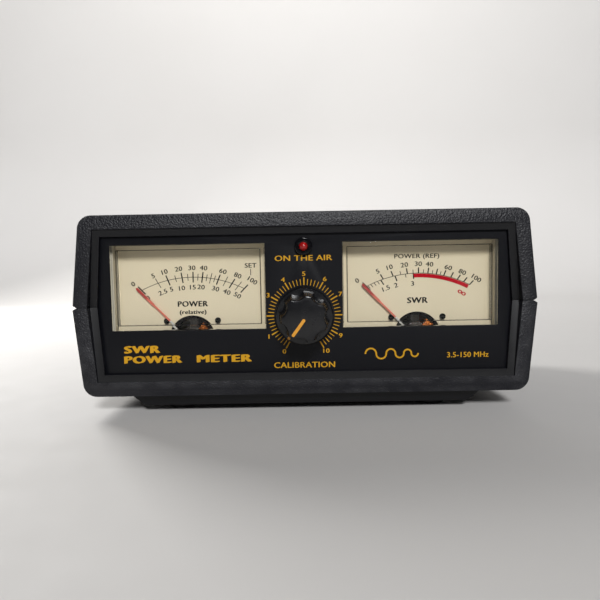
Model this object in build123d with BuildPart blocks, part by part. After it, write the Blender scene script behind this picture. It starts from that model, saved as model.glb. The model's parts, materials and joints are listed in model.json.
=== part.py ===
from build123d import *
import os
from math import cos, radians, sin, tan

os.makedirs("parts", exist_ok=True)

# An SWR and power meter for a radio desk: a two-part moulded case, two moving-coil meters, a
# calibration knob on a potentiometer, and a line coupler between two coaxial sockets at the back.
# Lengths are in millimetres. X runs to the right of someone who faces the panel, Y runs from the
# panel to the sockets, and Z is up. The origin is on the desk, under the middle of the instrument.
# Heights in the sections below are measured from the seam between the two halves of the case.

# --- Case ---------------------------------------------------------------------------------------
case_width = 155.0  # at the seam, which is the widest place
case_depth = 96.0  # from the front of the rim to the back of the rear rim
upper_height = 31.0  # seam to roof
lower_height = 30.6  # seam to underside
side_taper = 3.84  # degrees that the sides lean in, above and below the seam
rim_lean = 4.2  # degrees that the rims lean back, above and below the seam
corner_radius = 4.5
wall = 2.5
rim_width = 4.9
ledge_width = 2.4
ledge_depth = 2.6  # from the front of the rim to the ledge, at the seam
panel_step = 1.1  # from the ledge back to the panel
panel_overlap = 2.0  # how far a panel reaches into its groove
panel_gap = 0.1  # round a panel in its groove
rib_hold = 1.0  # how far the rib behind a groove stands over the panel's edge
rib_thickness = 1.5
seam_notch_depth = 1.3
seam_notch_rise = 0.75  # on each half
lip_thickness = 1.0
lip_height = 1.5
lip_gap = 0.2
lip_root = 4.0  # how far the lip runs down the inside of the lower case

plinth_width = 122.0  # where it leaves the case
plinth_end_run = 5.0  # how far each end slopes in
plinth_height = 4.0
plinth_setback = 5.5
plinth_fillet = 1.2
foot_radius = 6.0
foot_height = 2.5  # below the plinth
foot_recess = 0.6
foot_gap = 0.1
foot_edge = 0.5
foot_margin = 5.0  # from a foot to the edge of the plinth's face

post_radius = 3.6
post_wall_gap = 1.2  # between a post and the side wall
front_post_gap = 3.0  # behind the deepest piece of the meters
rear_post_depth = 17.0  # from the back of the case to the rear posts
screw_radius = 1.5
screw_head_radius = 2.8
screw_head_height = 2.0
screw_length = 26.0
screw_seat_depth = 14.0  # from the underside up to where the heads sit
screw_clearance = 0.2
thread_fit = 0.02
cross_width = 0.7
cross_length = 3.0
cross_depth = 1.1

# --- Panels -------------------------------------------------------------------------------------
front_panel_thickness = 2.0
rear_panel_thickness = 1.5

# --- Meters -------------------------------------------------------------------------------------
window_side_margin = 4.6  # from a window to the side of the panel opening, at the seam
window_top_margin = 3.05  # from a window to the top of the panel opening
window_middle_gap = 26.6  # between the two windows
window_fit = 0.15
window_proud = 0.5
window_edge = 0.4
lens_thickness = 1.6
cover_wall = 1.5
flange_lip = 2.25  # of the cover, above the window
housing_side = 1.35  # how far the housing stands out past the window, on each side
housing_wall = 1.5
housing_back = 2.0
housing_depth = 22.0
housing_floor_gap = 1.9  # between a housing and the case's floor
rib_clearance = 0.2
pivot_height = 11.1  # above the inside floor of the housing
window_over_pivot = 5.35

dial_setback = 6.6  # from the front of the window to the dial
dial_thickness = 0.6
dial_gap = 0.2
dial_below = 4.0  # the dial's lower edge, above the pivot
dial_cutout_radius = 8.45
dial_cutout_rise = 1.1
dial_screw_x = 9.1
dial_screw_rise = 7.7
dial_screw_radius = 0.6
dial_screw_head_radius = 1.05
dial_screw_head_height = 0.5
dial_screw_length = 2.4
dial_screw_slot_half = 0.15
boss_radius = 1.7

needle_rest = -44.4  # degrees, clockwise from straight up
needle_side_gap = 5.2  # from the tip of a resting needle to the cover's wall
needle_top_gap = 5.0  # from the tip of an upright needle to the cover's wall
needle_thickness = 0.25
needle_half_width = 0.3
needle_tip_half_width = 0.45
needle_tip_share = 0.34  # of the length, that is broad
needle_shoulder = 1.0  # over which it broadens
needle_point = 0.5  # over which it comes to a point
needle_over_dial = 0.85
hub_radius = 1.6
hub_front = 0.1  # how far it stands in front of the needle
hub_height = 0.75
tail_length = 5.5
tail_half_width = 0.5
tail_arm_half_length = 2.2
tail_arm_half_width = 0.6
tail_weight_radius = 1.15
tail_weight_height = 1.3

core_radius = 5.8
core_length = 8.0
core_web_width = 3.0
coil_core_gap = 0.4  # between the coil's long sides and the core
coil_side = 1.2
coil_half_width = 2.2
coil_end = 1.2
coil_end_gap = 0.3
coil_air_gap = 0.38
coil_behind_dial = 0.2
staff_radius = 0.4
staff_fit = 0.02
staff_end_gap = 0.05
yoke_half_width = 15.0
yoke_rise = 11.0
yoke_floor_gap = 0.3
yoke_inset = 0.5  # how far the core stands out of each face of the yoke
bridge_thickness = 0.6
bridge_half_length = 12.0
bridge_width = 4.5
bridge_pillar_x = 10.0
bridge_pillar_radius = 1.1
bridge_front_gap = 0.2
jewel_radius = 1.2
jewel_height = 0.15
rear_bridge_gap = 0.6
hairspring_inner = 1.5
hairspring_pitch = 0.6
hairspring_turns = 4
hairspring_thickness = 0.12
hairspring_height = 0.45
hairspring_gap = 0.25
pillar_radius = 2.2
pillar_x = 12.4
pillar_drop = 8.4

terminal_x = 12.7
terminal_height = 16.0  # above the pivot
terminal_radius = 1.5
terminal_head_radius = 2.6
terminal_head_height = 1.4
terminal_reach = 9.0
terminal_nut_radius = 3.1
terminal_nut_height = 2.4
terminal_nut_washer = 0.5

# --- Calibration knob and its potentiometer -----------------------------------------------------
knob_height_on_panel = -4.0
knob_reach = 14.1  # in front of the panel
knob_underside = 1.0  # in front of the panel
knob_skirt_radius = 9.75
knob_skirt_height = 2.6
knob_body_radius = 8.5
knob_body_taper = 6.5  # degrees
knob_lobes = 7
knob_scallop_radius = 2.7
knob_scallop_centre = 10.1
knob_edge = 0.5
knob_face_radius = 60.0  # of the slight dome of its face
knob_recess_radius = 6.3
knob_recess_depth = 4.6
knob_rest = -144.0  # degrees, clockwise from straight up
pointer_length = 6.7
pointer_width = 1.0
pointer_depth = 0.8  # behind the top of the dome
dot_radius = 0.5
dot_inset = 0.7  # from the rim of the skirt
shaft_radius = 3.0
shaft_fit = 0.02
shaft_running_fit = 0.05
shaft_tip_gap = 0.3
knob_crown = 2.0  # of plastic in front of the bore
set_screw_radius = 1.5
set_screw_length = 3.6
set_screw_depth = 5.0  # behind the knob's front face
set_screw_socket = 0.75
bushing_wall = 0.5
bushing_reach = 4.6
bushing_hole_fit = 0.1
bushing_plate_thickness = 1.0
pot_radius = 8.2
pot_depth = 8.6
pot_wall = 0.7
pot_track_thickness = 1.2
pot_track_gap = 0.2
rotor_radius = 5.8
rotor_thickness = 1.6
wiper_reach = 1.2
nut_wall = 1.5  # of the nut, at its flats
nut_height = 2.0
washer_width = 2.5
washer_thickness = 0.5
tag_width = 1.6
tag_thickness = 0.5
tag_pitch = 5.0
tag_drop = 5.5
tag_root = 3.0

# --- Indicator lamp -----------------------------------------------------------------------------
lamp_top_margin = 4.35  # below the top of the panel opening
lamp_radius = 1.5
lamp_reach = 2.5
lamp_body_depth = 4.5
lamp_flange_radius = 1.9
lamp_flange_height = 1.0
lamp_fit = 0.05
clip_radius = 3.0
clip_front = 1.2
clip_sleeve_radius = 2.4
clip_fit = 0.05
clip_edge = 0.4
clip_tail = 1.6
lead_half_width = 0.25
lead_spacing = 2.54
lead_length = 14.0

# --- Sockets and line coupler -------------------------------------------------------------------
socket_spacing = 60.0
socket_height = -3.0
socket_flange = 25.4
socket_flange_thickness = 1.6
socket_hole_spacing = 18.26
socket_flange_corner = 1.5
socket_thread_radius = 7.94
socket_reach = 14.3  # from the rear panel to the end of the thread
socket_barrel_wall = 1.84  # from the bore to the crest of the thread
socket_boss_step = 0.64  # from the boss to the crest of the thread
socket_boss_length = 4.0
socket_boss_fit = 0.15
thread_pitch = 1.06
thread_depth = 0.5
thread_turns = 9
thread_start = 1.0
insulator_front = 5.6  # how far the insulator stops short of the socket's end
insulator_fit = 0.02
insulator_tail = 2.0
insulator_tail_radius = 4.6
contact_bore_radius = 2.0
contact_wall = 0.7
contact_bore_depth = 11.0
contact_setback = 0.9
contact_fit = 0.02
contact_tail_radius = 1.5
socket_screw_radius = 1.5
socket_screw_head_radius = 2.75
socket_screw_head_height = 1.6
socket_screw_length = 8.0
socket_screw_fit = 0.1
socket_nut_width = 5.5
socket_nut_height = 2.4

board_gap = 13.0  # from the rear panel to the coupler board
board_thickness = 1.6
board_height = 34.0
board_margin = 14.0  # past the middle of each socket
board_solder = 1.4  # how far the contact tails stand through the board
trough_thickness = 0.6
trough_half_height = 13.6
track_thickness = 0.2
track_half_width = 2.0
diode_radius = 1.1
diode_length = 4.4
resistor_radius = 1.15
resistor_length = 6.4
part_lead_radius = 0.3
part_lead_reach = 2.2
part_height = 1.8  # of a component's axis in front of the board
capacitor_radius = 3.0
capacitor_thickness = 1.8
capacitor_lift = 1.0
wire_radius = 0.6
wire_socket_gap = 0.1

# --- Places worked out from the sizes above ------------------------------------------------------
seam_z = foot_height + plinth_height + lower_height
panel_depth = ledge_depth + panel_step
front_reach = knob_reach - panel_depth
rear_reach = socket_reach - panel_depth
prow_y = front_reach - (front_reach + case_depth + rear_reach) / 2
rear_y = prow_y + case_depth
panel_y = prow_y + panel_depth
rear_panel_y = rear_y - panel_depth  # the outer face of the rear panel
opening_inset = rim_width + ledge_width
groove_inset = opening_inset - panel_overlap
panel_inset = groove_inset + panel_gap
rib_inset = groove_inset + rib_hold

opening_half_width = case_width / 2 - opening_inset / cos(radians(side_taper))
opening_top = upper_height - opening_inset
window_width = opening_half_width - window_side_margin - window_middle_gap / 2
meter_x = (window_middle_gap + window_width) / 2
housing_bottom = -(lower_height - wall - housing_floor_gap)
pivot_z = housing_bottom + housing_wall + pivot_height
window_bottom = pivot_z + window_over_pivot
window_top = opening_top - window_top_margin
window_height = window_top - window_bottom
window_z = (window_top + window_bottom) / 2
housing_top = window_top + flange_lip
housing_width = window_width + 2 * housing_side
flange_bottom = -(lower_height - rib_inset - rib_clearance)

window_y = panel_y - window_proud
flange_y = panel_y + front_panel_thickness
housing_y = flange_y + panel_gap + rib_thickness + rib_clearance
housing_rear_y = housing_y + housing_depth
dial_y = window_y + dial_setback
needle_y = dial_y - needle_over_dial - needle_thickness
hub_y = needle_y - hub_front
bridge_y = housing_y + bridge_front_gap
coil_y = dial_y + dial_thickness + coil_behind_dial
core_y = coil_y + coil_end + coil_end_gap
core_end_y = core_y + core_length
coil_end_y = core_end_y + coil_end_gap + coil_end
yoke_y = core_y + yoke_inset
yoke_end_y = core_end_y - yoke_inset
rear_bridge_y = coil_end_y + rear_bridge_gap
coil_half_length = core_radius + coil_core_gap + coil_side
yoke_bore_radius = (coil_half_length**2 + coil_half_width**2) ** 0.5 + coil_air_gap
rest_angle = radians(needle_rest)
needle_side_length = (window_width / 2 - cover_wall - needle_side_gap) / sin(-rest_angle)
needle_top_length = window_top - cover_wall - needle_top_gap - pivot_z
needle_length = min(needle_side_length, needle_top_length)

lamp_z = opening_top - lamp_top_margin
knob_z = knob_height_on_panel
knob_tip_y = panel_y - knob_reach
skirt_y = panel_y - knob_underside
bushing_radius = shaft_radius + bushing_wall
nut_width = 2 * (bushing_radius + nut_wall)
washer_radius = bushing_radius + washer_width
pot_y = panel_y + front_panel_thickness
board_y = rear_panel_y - rear_panel_thickness - board_gap
socket_xs = {"transmitter": -socket_spacing / 2, "antenna": socket_spacing / 2}
socket_bore_radius = socket_thread_radius - socket_barrel_wall
socket_boss_radius = socket_thread_radius - socket_boss_step
contact_radius = contact_bore_radius + contact_wall
meter_xs = {"left": -meter_x, "right": meter_x}

post_x = case_width / 2 - lower_height * tan(radians(side_taper)) - wall - post_wall_gap - post_radius
post_ys = (housing_rear_y + terminal_reach + front_post_gap, rear_y - rear_post_depth)
foot_x = plinth_width / 2 - plinth_end_run - foot_margin - foot_radius
foot_inset = plinth_setback + foot_margin + foot_radius
foot_ys = (prow_y + foot_inset, rear_y - foot_inset)


def facing(y):
    """The upright plane at depth y that faces the front, with its origin on the seam."""
    return Plane(origin=(0, y, seam_z), x_dir=(1, 0, 0), z_dir=(0, -1, 0))


def turned(x, y, z, angle):
    """Like facing(y), with its origin at x and z and its Y axis turned clockwise by angle."""
    across = (cos(radians(angle)), 0, -sin(radians(angle)))
    return Plane(origin=(x, y, seam_z + z), x_dir=across, z_dir=(0, -1, 0))


def round_bar(x, z, start, end, radius, mode=Mode.ADD):
    """Adds a round bar along Y to the open part, or cuts one out of it."""
    with BuildSketch(facing(start)) as disc:
        with Locations((x, z)):
            Circle(radius)
    extrude(disc.sketch, amount=start - end, mode=mode)


def block(left, right, bottom, top, start, end, mode=Mode.ADD):
    """Adds a box to the open part, or cuts one out of it, from its six sides."""
    with BuildSketch(facing(start)) as face:
        with Locations(((left + right) / 2, (bottom + top) / 2)):
            Rectangle(right - left, top - bottom)
    extrude(face.sketch, amount=start - end, mode=mode)


def save(piece, name):
    """Names a finished piece and writes it as a part of its own."""
    piece.part.label = name
    export_step(piece.part, f"parts/{name}.step")


# --- Case ---------------------------------------------------------------------------------------
def half_section(inset, height, side, corner=0.0):
    """Draws half of the case's section, above the seam or below it, inset from its walls."""
    lean = tan(radians(side_taper))
    seam_half = case_width / 2 - inset / cos(radians(side_taper))
    far = height - inset
    far_half = seam_half - far * lean
    outline = Polygon(
        (-seam_half, 0), (seam_half, 0), (far_half, side * far), (-far_half, side * far), align=None
    )
    if corner:
        far_corners = outline.vertices().group_by(Axis.Y)[-1 if side > 0 else 0]
        fillet(far_corners, corner)


def case_half(height, side):
    """One half of the case: a trough whose two ends hold the panels in grooves."""
    groove_ends = {prow_y: front_panel_thickness, rear_y: rear_panel_thickness}
    with BuildPart() as half:
        with BuildSketch(facing(prow_y)):
            half_section(0, height, side, corner_radius)
        extrude(amount=-case_depth)

        # Each end steps in from the rim to the ledge, the panel's groove and the rib behind it.
        inner_ends = []
        for end_y, thickness in groove_ends.items():
            inward = 1 if end_y == prow_y else -1
            groove_end = panel_depth + thickness + panel_gap
            steps = [
                (0, ledge_depth, rim_width),
                (ledge_depth, panel_depth, opening_inset),
                (panel_depth, groove_end, groove_inset),
                (groove_end, groove_end + rib_thickness, rib_inset),
            ]
            for start, stop, inset in steps:
                with BuildSketch(facing(end_y + inward * start)):
                    half_section(inset, height, side)
                extrude(amount=-inward * (stop - start), mode=Mode.SUBTRACT)
            inner_ends.append(end_y + inward * (groove_end + rib_thickness))

            # The rim leans back from its prow at the seam.
            with BuildSketch(Plane.YZ):
                far_z = seam_z + side * height
                Polygon(
                    (end_y, seam_z),
                    (end_y, far_z),
                    (end_y + inward * height * tan(radians(rim_lean)), far_z),
                    align=None,
                )
            extrude(amount=case_width, both=True, mode=Mode.SUBTRACT)

        inner_start, inner_end = inner_ends
        with BuildSketch(facing(inner_start)):
            half_section(wall, height, side, corner_radius - wall)
        extrude(amount=inner_start - inner_end, mode=Mode.SUBTRACT)

        # A V-shaped notch runs along the seam on both sides.
        with BuildSketch(facing(prow_y)):
            for right in (-1, 1):
                edge = right * case_width / 2
                Polygon(
                    (edge, 0), (edge - right * seam_notch_depth, 0), (edge, side * seam_notch_rise),
                    align=None,
                )
        extrude(amount=-case_depth, mode=Mode.SUBTRACT)
    return half, inner_start, inner_end


upper, inner_start_y, inner_end_y = case_half(upper_height, 1)
inner_half_width = case_width / 2 - wall / cos(radians(side_taper))
pilot_depth = screw_length - (lower_height - screw_seat_depth)

with BuildPart() as upper_case:
    add(upper.part)
    with BuildSketch(Plane.XY.offset(seam_z)):
        with Locations(*[(x, y) for x in (-post_x, post_x) for y in post_ys]):
            Circle(post_radius)
    extrude(amount=upper_height - wall / 2)
    with BuildSketch(Plane.XY.offset(seam_z)):
        with Locations(*[(x, y) for x in (-post_x, post_x) for y in post_ys]):
            Circle(screw_radius + thread_fit)
    extrude(amount=pilot_depth + screw_clearance, mode=Mode.SUBTRACT)
save(upper_case, "upper_case")

lower, inner_start_y, inner_end_y = case_half(lower_height, -1)
underside_z = seam_z - lower_height
plinth_front_y = prow_y + plinth_setback
plinth_length = case_depth - 2 * plinth_setback
plinth_face_half = plinth_width / 2 - plinth_end_run

with BuildPart() as lower_case:
    add(lower.part)

    # The plinth has sloped ends and is hollow above its floor.
    with BuildSketch(facing(plinth_front_y)):
        Polygon(
            (-plinth_width / 2, -lower_height),
            (plinth_width / 2, -lower_height),
            (plinth_face_half, -lower_height - plinth_height),
            (-plinth_face_half, -lower_height - plinth_height),
            align=None,
        )
    extrude(amount=-plinth_length)
    plinth_roots = lower_case.edges().filter_by(Axis.Y)
    plinth_roots = plinth_roots.filter_by_position(Axis.Z, underside_z - 0.01, underside_z + 0.01)
    plinth_roots = plinth_roots.filter_by_position(Axis.X, -plinth_width / 2 - 0.1, plinth_width / 2 + 0.1)
    fillet(plinth_roots, plinth_fillet)
    block(
        -plinth_face_half + wall,
        plinth_face_half - wall,
        -lower_height - plinth_height + wall,
        -lower_height + wall,
        plinth_front_y + wall,
        plinth_front_y + plinth_length - wall,
        mode=Mode.SUBTRACT,
    )

    # A lip along each side stands inside the upper case's wall.
    with BuildSketch(facing(inner_start_y)):
        for right in (-1, 1):
            lip_outer = inner_half_width - lip_gap
            Polygon(
                (right * lip_outer, lip_height),
                (right * (lip_outer - lip_thickness), lip_height),
                (right * (lip_outer - lip_thickness), -lip_root),
                (right * (inner_half_width + lip_gap), -lip_root),
                (right * (inner_half_width + lip_gap), 0),
                (right * lip_outer, 0),
                align=None,
            )
    extrude(amount=inner_start_y - inner_end_y)

    with BuildSketch(Plane.XY.offset(seam_z - lower_height + wall / 2)):
        with Locations(*[(x, y) for x in (-post_x, post_x) for y in post_ys]):
            Circle(post_radius)
    extrude(amount=lower_height - wall / 2)
    with Locations(*[(x, y, underside_z) for x in (-post_x, post_x) for y in post_ys]):
        Cylinder(
            screw_radius + screw_clearance, lower_height,
            align=(Align.CENTER, Align.CENTER, Align.MIN), mode=Mode.SUBTRACT,
        )
        Cylinder(
            screw_head_radius + screw_clearance, screw_seat_depth,
            align=(Align.CENTER, Align.CENTER, Align.MIN), mode=Mode.SUBTRACT,
        )
    with Locations(*[(x, y, foot_height) for x in (-foot_x, foot_x) for y in foot_ys]):
        Cylinder(
            foot_radius + foot_gap, foot_recess,
            align=(Align.CENTER, Align.CENTER, Align.MIN), mode=Mode.SUBTRACT,
        )
save(lower_case, "lower_case")

with BuildPart() as case_screws:
    head_z = underside_z + screw_seat_depth - screw_head_height
    with Locations(*[(x, y, head_z) for x in (-post_x, post_x) for y in post_ys]):
        Cylinder(
            screw_head_radius, screw_head_height, align=(Align.CENTER, Align.CENTER, Align.MIN)
        )
        Cylinder(
            screw_radius, screw_head_height + screw_length,
            align=(Align.CENTER, Align.CENTER, Align.MIN),
        )
        Box(
            cross_length, cross_width, cross_depth,
            align=(Align.CENTER, Align.CENTER, Align.MIN), mode=Mode.SUBTRACT,
        )
        Box(
            cross_width, cross_length, cross_depth,
            align=(Align.CENTER, Align.CENTER, Align.MIN), mode=Mode.SUBTRACT,
        )
save(case_screws, "case_screws")

with BuildPart() as rubber_feet:
    with Locations(*[(x, y, 0) for x in (-foot_x, foot_x) for y in foot_ys]):
        Cylinder(
            foot_radius, foot_height + foot_recess, align=(Align.CENTER, Align.CENTER, Align.MIN)
        )
    chamfer(rubber_feet.edges().filter_by(GeomType.CIRCLE).group_by(Axis.Z)[0], foot_edge)
save(rubber_feet, "rubber_feet")

# --- Panels -------------------------------------------------------------------------------------
with BuildPart() as front_panel:
    with BuildSketch(facing(panel_y)):
        half_section(panel_inset, upper_height, 1)
        half_section(panel_inset, lower_height, -1)
        with Locations(*[(x, window_z) for x in meter_xs.values()]):
            Rectangle(window_width + 2 * window_fit, window_height + 2 * window_fit, mode=Mode.SUBTRACT)
        with Locations((0, knob_z)):
            Circle(bushing_radius + bushing_hole_fit, mode=Mode.SUBTRACT)
        with Locations((0, lamp_z)):
            Circle(clip_sleeve_radius + clip_fit, mode=Mode.SUBTRACT)
    extrude(amount=-front_panel_thickness)
save(front_panel, "front_panel")

screw_offset = socket_hole_spacing / 2
socket_screw_places = [
    (x + dx, socket_height + dz)
    for x in socket_xs.values()
    for dx in (-screw_offset, screw_offset)
    for dz in (-screw_offset, screw_offset)
]
with BuildPart() as rear_panel:
    with BuildSketch(facing(rear_panel_y)):
        half_section(panel_inset, upper_height, 1)
        half_section(panel_inset, lower_height, -1)
        with Locations(*[(x, socket_height) for x in socket_xs.values()]):
            Circle(socket_boss_radius + socket_boss_fit, mode=Mode.SUBTRACT)
        with Locations(*socket_screw_places):
            Circle(socket_screw_radius + socket_screw_fit, mode=Mode.SUBTRACT)
    extrude(amount=rear_panel_thickness)
save(rear_panel, "rear_panel")


# --- Meters -------------------------------------------------------------------------------------
def meter_cover(x):
    """The clear cover: a window that stands through the panel, on a flange behind it."""
    left, right = x - window_width / 2, x + window_width / 2
    flange_half = housing_width / 2
    with BuildPart() as cover:
        block(left, right, window_bottom, window_top, window_y, flange_y)
        fillet(cover.edges().group_by(Axis.Y)[0], window_edge)
        block(x - flange_half, x + flange_half, flange_bottom, housing_top, flange_y, housing_y)
        block(
            left + cover_wall,
            right - cover_wall,
            window_bottom + cover_wall,
            window_top - cover_wall,
            window_y + lens_thickness,
            housing_y,
            mode=Mode.SUBTRACT,
        )
    return cover


def meter_housing(x):
    """The moulded tray behind the cover, with pillars for the magnet and holes for the terminals."""
    half = housing_width / 2
    inner_rear = housing_rear_y - housing_back
    with BuildPart() as housing:
        block(x - half, x + half, housing_bottom, housing_top, housing_y, housing_rear_y)
        block(
            x - half + housing_wall,
            x + half - housing_wall,
            housing_bottom + housing_wall,
            housing_top - housing_wall,
            housing_y,
            inner_rear,
            mode=Mode.SUBTRACT,
        )
        for dx in (-pillar_x, pillar_x):
            for dz in (-pillar_drop, pillar_drop):
                round_bar(x + dx, pivot_z + dz, yoke_end_y, inner_rear + housing_back / 2, pillar_radius)
        for dx in (-terminal_x, terminal_x):
            hole_radius = terminal_radius + screw_clearance
            hole_z = pivot_z + terminal_height
            round_bar(x + dx, hole_z, inner_rear, housing_rear_y, hole_radius, mode=Mode.SUBTRACT)
    return housing


def dial_plate(x):
    """The printed plate, cut away over the movement."""
    half = housing_width / 2 - housing_wall - dial_gap
    top = housing_top - housing_wall - dial_gap
    with BuildPart() as dial:
        block(x - half, x + half, pivot_z + dial_below, top, dial_y, dial_y + dial_thickness)
        round_bar(
            x, pivot_z + dial_cutout_rise, dial_y, dial_y + dial_thickness, dial_cutout_radius,
            mode=Mode.SUBTRACT,
        )
        for dx in (-dial_screw_x, dial_screw_x):
            round_bar(
                x + dx, pivot_z + dial_screw_rise, dial_y, dial_y + dial_thickness,
                dial_screw_radius + thread_fit, mode=Mode.SUBTRACT,
            )
    return dial


def dial_screws(x):
    """Two small slotted screws that hold the dial to the magnet."""
    with BuildPart() as screws:
        for dx in (-dial_screw_x, dial_screw_x):
            z = pivot_z + dial_screw_rise
            head_y = dial_y - dial_screw_head_height
            round_bar(x + dx, z, head_y, dial_y, dial_screw_head_radius)
            round_bar(x + dx, z, dial_y, dial_y + dial_screw_length, dial_screw_radius)
            slot = dial_screw_head_radius
            block(
                x + dx - slot, x + dx + slot, z - dial_screw_slot_half, z + dial_screw_slot_half,
                head_y, head_y + dial_screw_head_height / 2, mode=Mode.SUBTRACT,
            )
    return screws


def needle(x):
    """The pointer with its hub and its balanced tail, standing at zero."""
    broad = needle_length * (1 - needle_tip_share)
    with BuildPart() as pointer:
        with BuildSketch(turned(x, needle_y, pivot_z, needle_rest)):
            with BuildLine():
                Polyline(
                    (-needle_half_width, 0),
                    (-needle_half_width, broad),
                    (-needle_tip_half_width, broad + needle_shoulder),
                    (-needle_tip_half_width, needle_length - needle_point),
                    (0, needle_length),
                    (needle_tip_half_width, needle_length - needle_point),
                    (needle_tip_half_width, broad + needle_shoulder),
                    (needle_half_width, broad),
                    (needle_half_width, 0),
                    close=True,
                )
            make_face()
            with Locations((0, -tail_length / 2)):
                Rectangle(2 * tail_half_width, tail_length)
            with Locations((0, -tail_length)):
                Rectangle(2 * tail_arm_half_length, 2 * tail_arm_half_width)
        extrude(amount=-needle_thickness)
        with BuildSketch(turned(x, needle_y, pivot_z, needle_rest)):
            with Locations((-tail_arm_half_length, -tail_length), (tail_arm_half_length, -tail_length)):
                Circle(tail_weight_radius)
        extrude(amount=-tail_weight_height)
        round_bar(x, pivot_z, hub_y, hub_y + hub_height, hub_radius)
        round_bar(x, pivot_z, hub_y, hub_y + hub_height, staff_radius + staff_fit, mode=Mode.SUBTRACT)
    return pointer


def moving_coil(x):
    """The winding: a flat rectangular loop round the core, square to the needle."""
    with BuildPart() as coil:
        with BuildSketch(turned(x, coil_y, pivot_z, needle_rest)):
            Rectangle(2 * coil_half_length, 2 * coil_half_width)
        extrude(amount=coil_y - coil_end_y)
        with BuildSketch(turned(x, coil_y + coil_end, pivot_z, needle_rest)):
            Rectangle(2 * (coil_half_length - coil_side), 2 * coil_half_width)
        extrude(amount=-(core_length + 2 * coil_end_gap), mode=Mode.SUBTRACT)
        round_bar(
            x, pivot_z, coil_y, coil_y + coil_end, staff_radius + staff_fit, mode=Mode.SUBTRACT
        )
        round_bar(
            x, pivot_z, coil_end_y - coil_end, coil_end_y, staff_radius + staff_fit,
            mode=Mode.SUBTRACT,
        )
    return coil


def pivot_pins(x):
    """The two steel pins on which the coil turns."""
    front_start = bridge_y + bridge_thickness + jewel_height + staff_end_gap
    rear_end = rear_bridge_y - jewel_height - staff_end_gap
    with BuildPart() as pins:
        round_bar(x, pivot_z, front_start, coil_y + coil_end, staff_radius)
        round_bar(x, pivot_z, coil_end_y - coil_end, rear_end, staff_radius)
    return pins


def core(x):
    """The soft-iron core, held above and below by webs across the air gap."""
    with BuildPart() as iron:
        round_bar(x, pivot_z, core_y, core_end_y, core_radius)
        with BuildSketch(facing(yoke_y)):
            with Locations((x, pivot_z)):
                Circle(yoke_bore_radius)
                Rectangle(core_web_width, 4 * yoke_bore_radius, mode=Mode.INTERSECT)
        extrude(amount=yoke_y - yoke_end_y)
    return iron


def magnet_yoke(x):
    """The magnet block round the coil, with two bosses that carry the dial."""
    bottom = housing_bottom + housing_wall + yoke_floor_gap
    with BuildPart() as yoke:
        block(
            x - yoke_half_width, x + yoke_half_width, bottom, pivot_z + yoke_rise, yoke_y, yoke_end_y
        )
        for dx in (-dial_screw_x, dial_screw_x):
            boss_z = pivot_z + dial_screw_rise
            round_bar(x + dx, boss_z, dial_y + dial_thickness, yoke_y, boss_radius)
            round_bar(
                x + dx, boss_z, dial_y + dial_thickness, dial_y + dial_screw_length,
                dial_screw_radius + thread_fit, mode=Mode.SUBTRACT,
            )
        round_bar(x, pivot_z, yoke_y, yoke_end_y, yoke_bore_radius, mode=Mode.SUBTRACT)
    return yoke


def bridges(x):
    """The front and rear bridges, each on two pillars, with a seat for a pivot pin."""
    with BuildPart() as pair:
        for plate_y, pillar_start, pillar_end, seat_y in (
            (bridge_y, bridge_y, yoke_y, bridge_y + bridge_thickness),
            (rear_bridge_y, yoke_end_y, rear_bridge_y, rear_bridge_y - jewel_height),
        ):
            with BuildSketch(facing(plate_y)):
                with Locations((x, pivot_z)):
                    SlotOverall(2 * bridge_half_length, bridge_width)
            extrude(amount=-bridge_thickness)
            for dx in (-bridge_pillar_x, bridge_pillar_x):
                round_bar(x + dx, pivot_z, pillar_start, pillar_end, bridge_pillar_radius)
            round_bar(x, pivot_z, seat_y, seat_y + jewel_height, jewel_radius)
    return pair


def hairspring(x):
    """The flat spiral that returns the needle, drawn as half turns that grow by half a pitch."""
    spring_y = hub_y + hub_height + hairspring_gap
    step = hairspring_pitch / 2
    with BuildPart() as spring:
        with BuildSketch(turned(x, spring_y, pivot_z, needle_rest)):
            with BuildLine():
                for half_turn in range(2 * hairspring_turns):
                    radius = hairspring_inner + half_turn * step
                    centre = step if half_turn % 2 else 0
                    CenterArc((centre, 0), radius, 180 * (half_turn % 2), 180)
            trace(line_width=hairspring_thickness)
        extrude(amount=-hairspring_height)
    return spring


def meter_terminals(x):
    """Two studs through the back of the housing, each with its head inside and a nut outside."""
    inner_rear = housing_rear_y - housing_back
    nut_y = housing_rear_y + terminal_nut_washer
    with BuildPart() as terminals:
        for dx in (-terminal_x, terminal_x):
            z = pivot_z + terminal_height
            round_bar(x + dx, z, inner_rear - terminal_head_height, inner_rear, terminal_head_radius)
            round_bar(x + dx, z, inner_rear, housing_rear_y + terminal_reach, terminal_radius)
            round_bar(x + dx, z, housing_rear_y, nut_y, terminal_nut_radius)
            with BuildSketch(facing(nut_y)):
                with Locations((x + dx, z)):
                    RegularPolygon(terminal_nut_radius, 6)
            extrude(amount=-terminal_nut_height)
    return terminals


meter_pieces = {
    "meter_cover": meter_cover,
    "meter_housing": meter_housing,
    "dial_plate": dial_plate,
    "dial_screws": dial_screws,
    "needle": needle,
    "moving_coil": moving_coil,
    "pivot_pins": pivot_pins,
    "core": core,
    "magnet_yoke": magnet_yoke,
    "bridges": bridges,
    "hairspring": hairspring,
    "meter_terminals": meter_terminals,
}
for side_name, meter_centre in meter_xs.items():
    for piece_name, make_piece in meter_pieces.items():
        save(make_piece(meter_centre), f"{side_name}_{piece_name}")

# --- Calibration knob ----------------------------------------------------------------------------
body_y = skirt_y - knob_skirt_height
bore_end_y = knob_tip_y + knob_crown
recess_end_y = skirt_y - knob_recess_depth
set_screw_y = knob_tip_y + set_screw_depth
dot_centre = knob_skirt_radius - dot_inset

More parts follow.
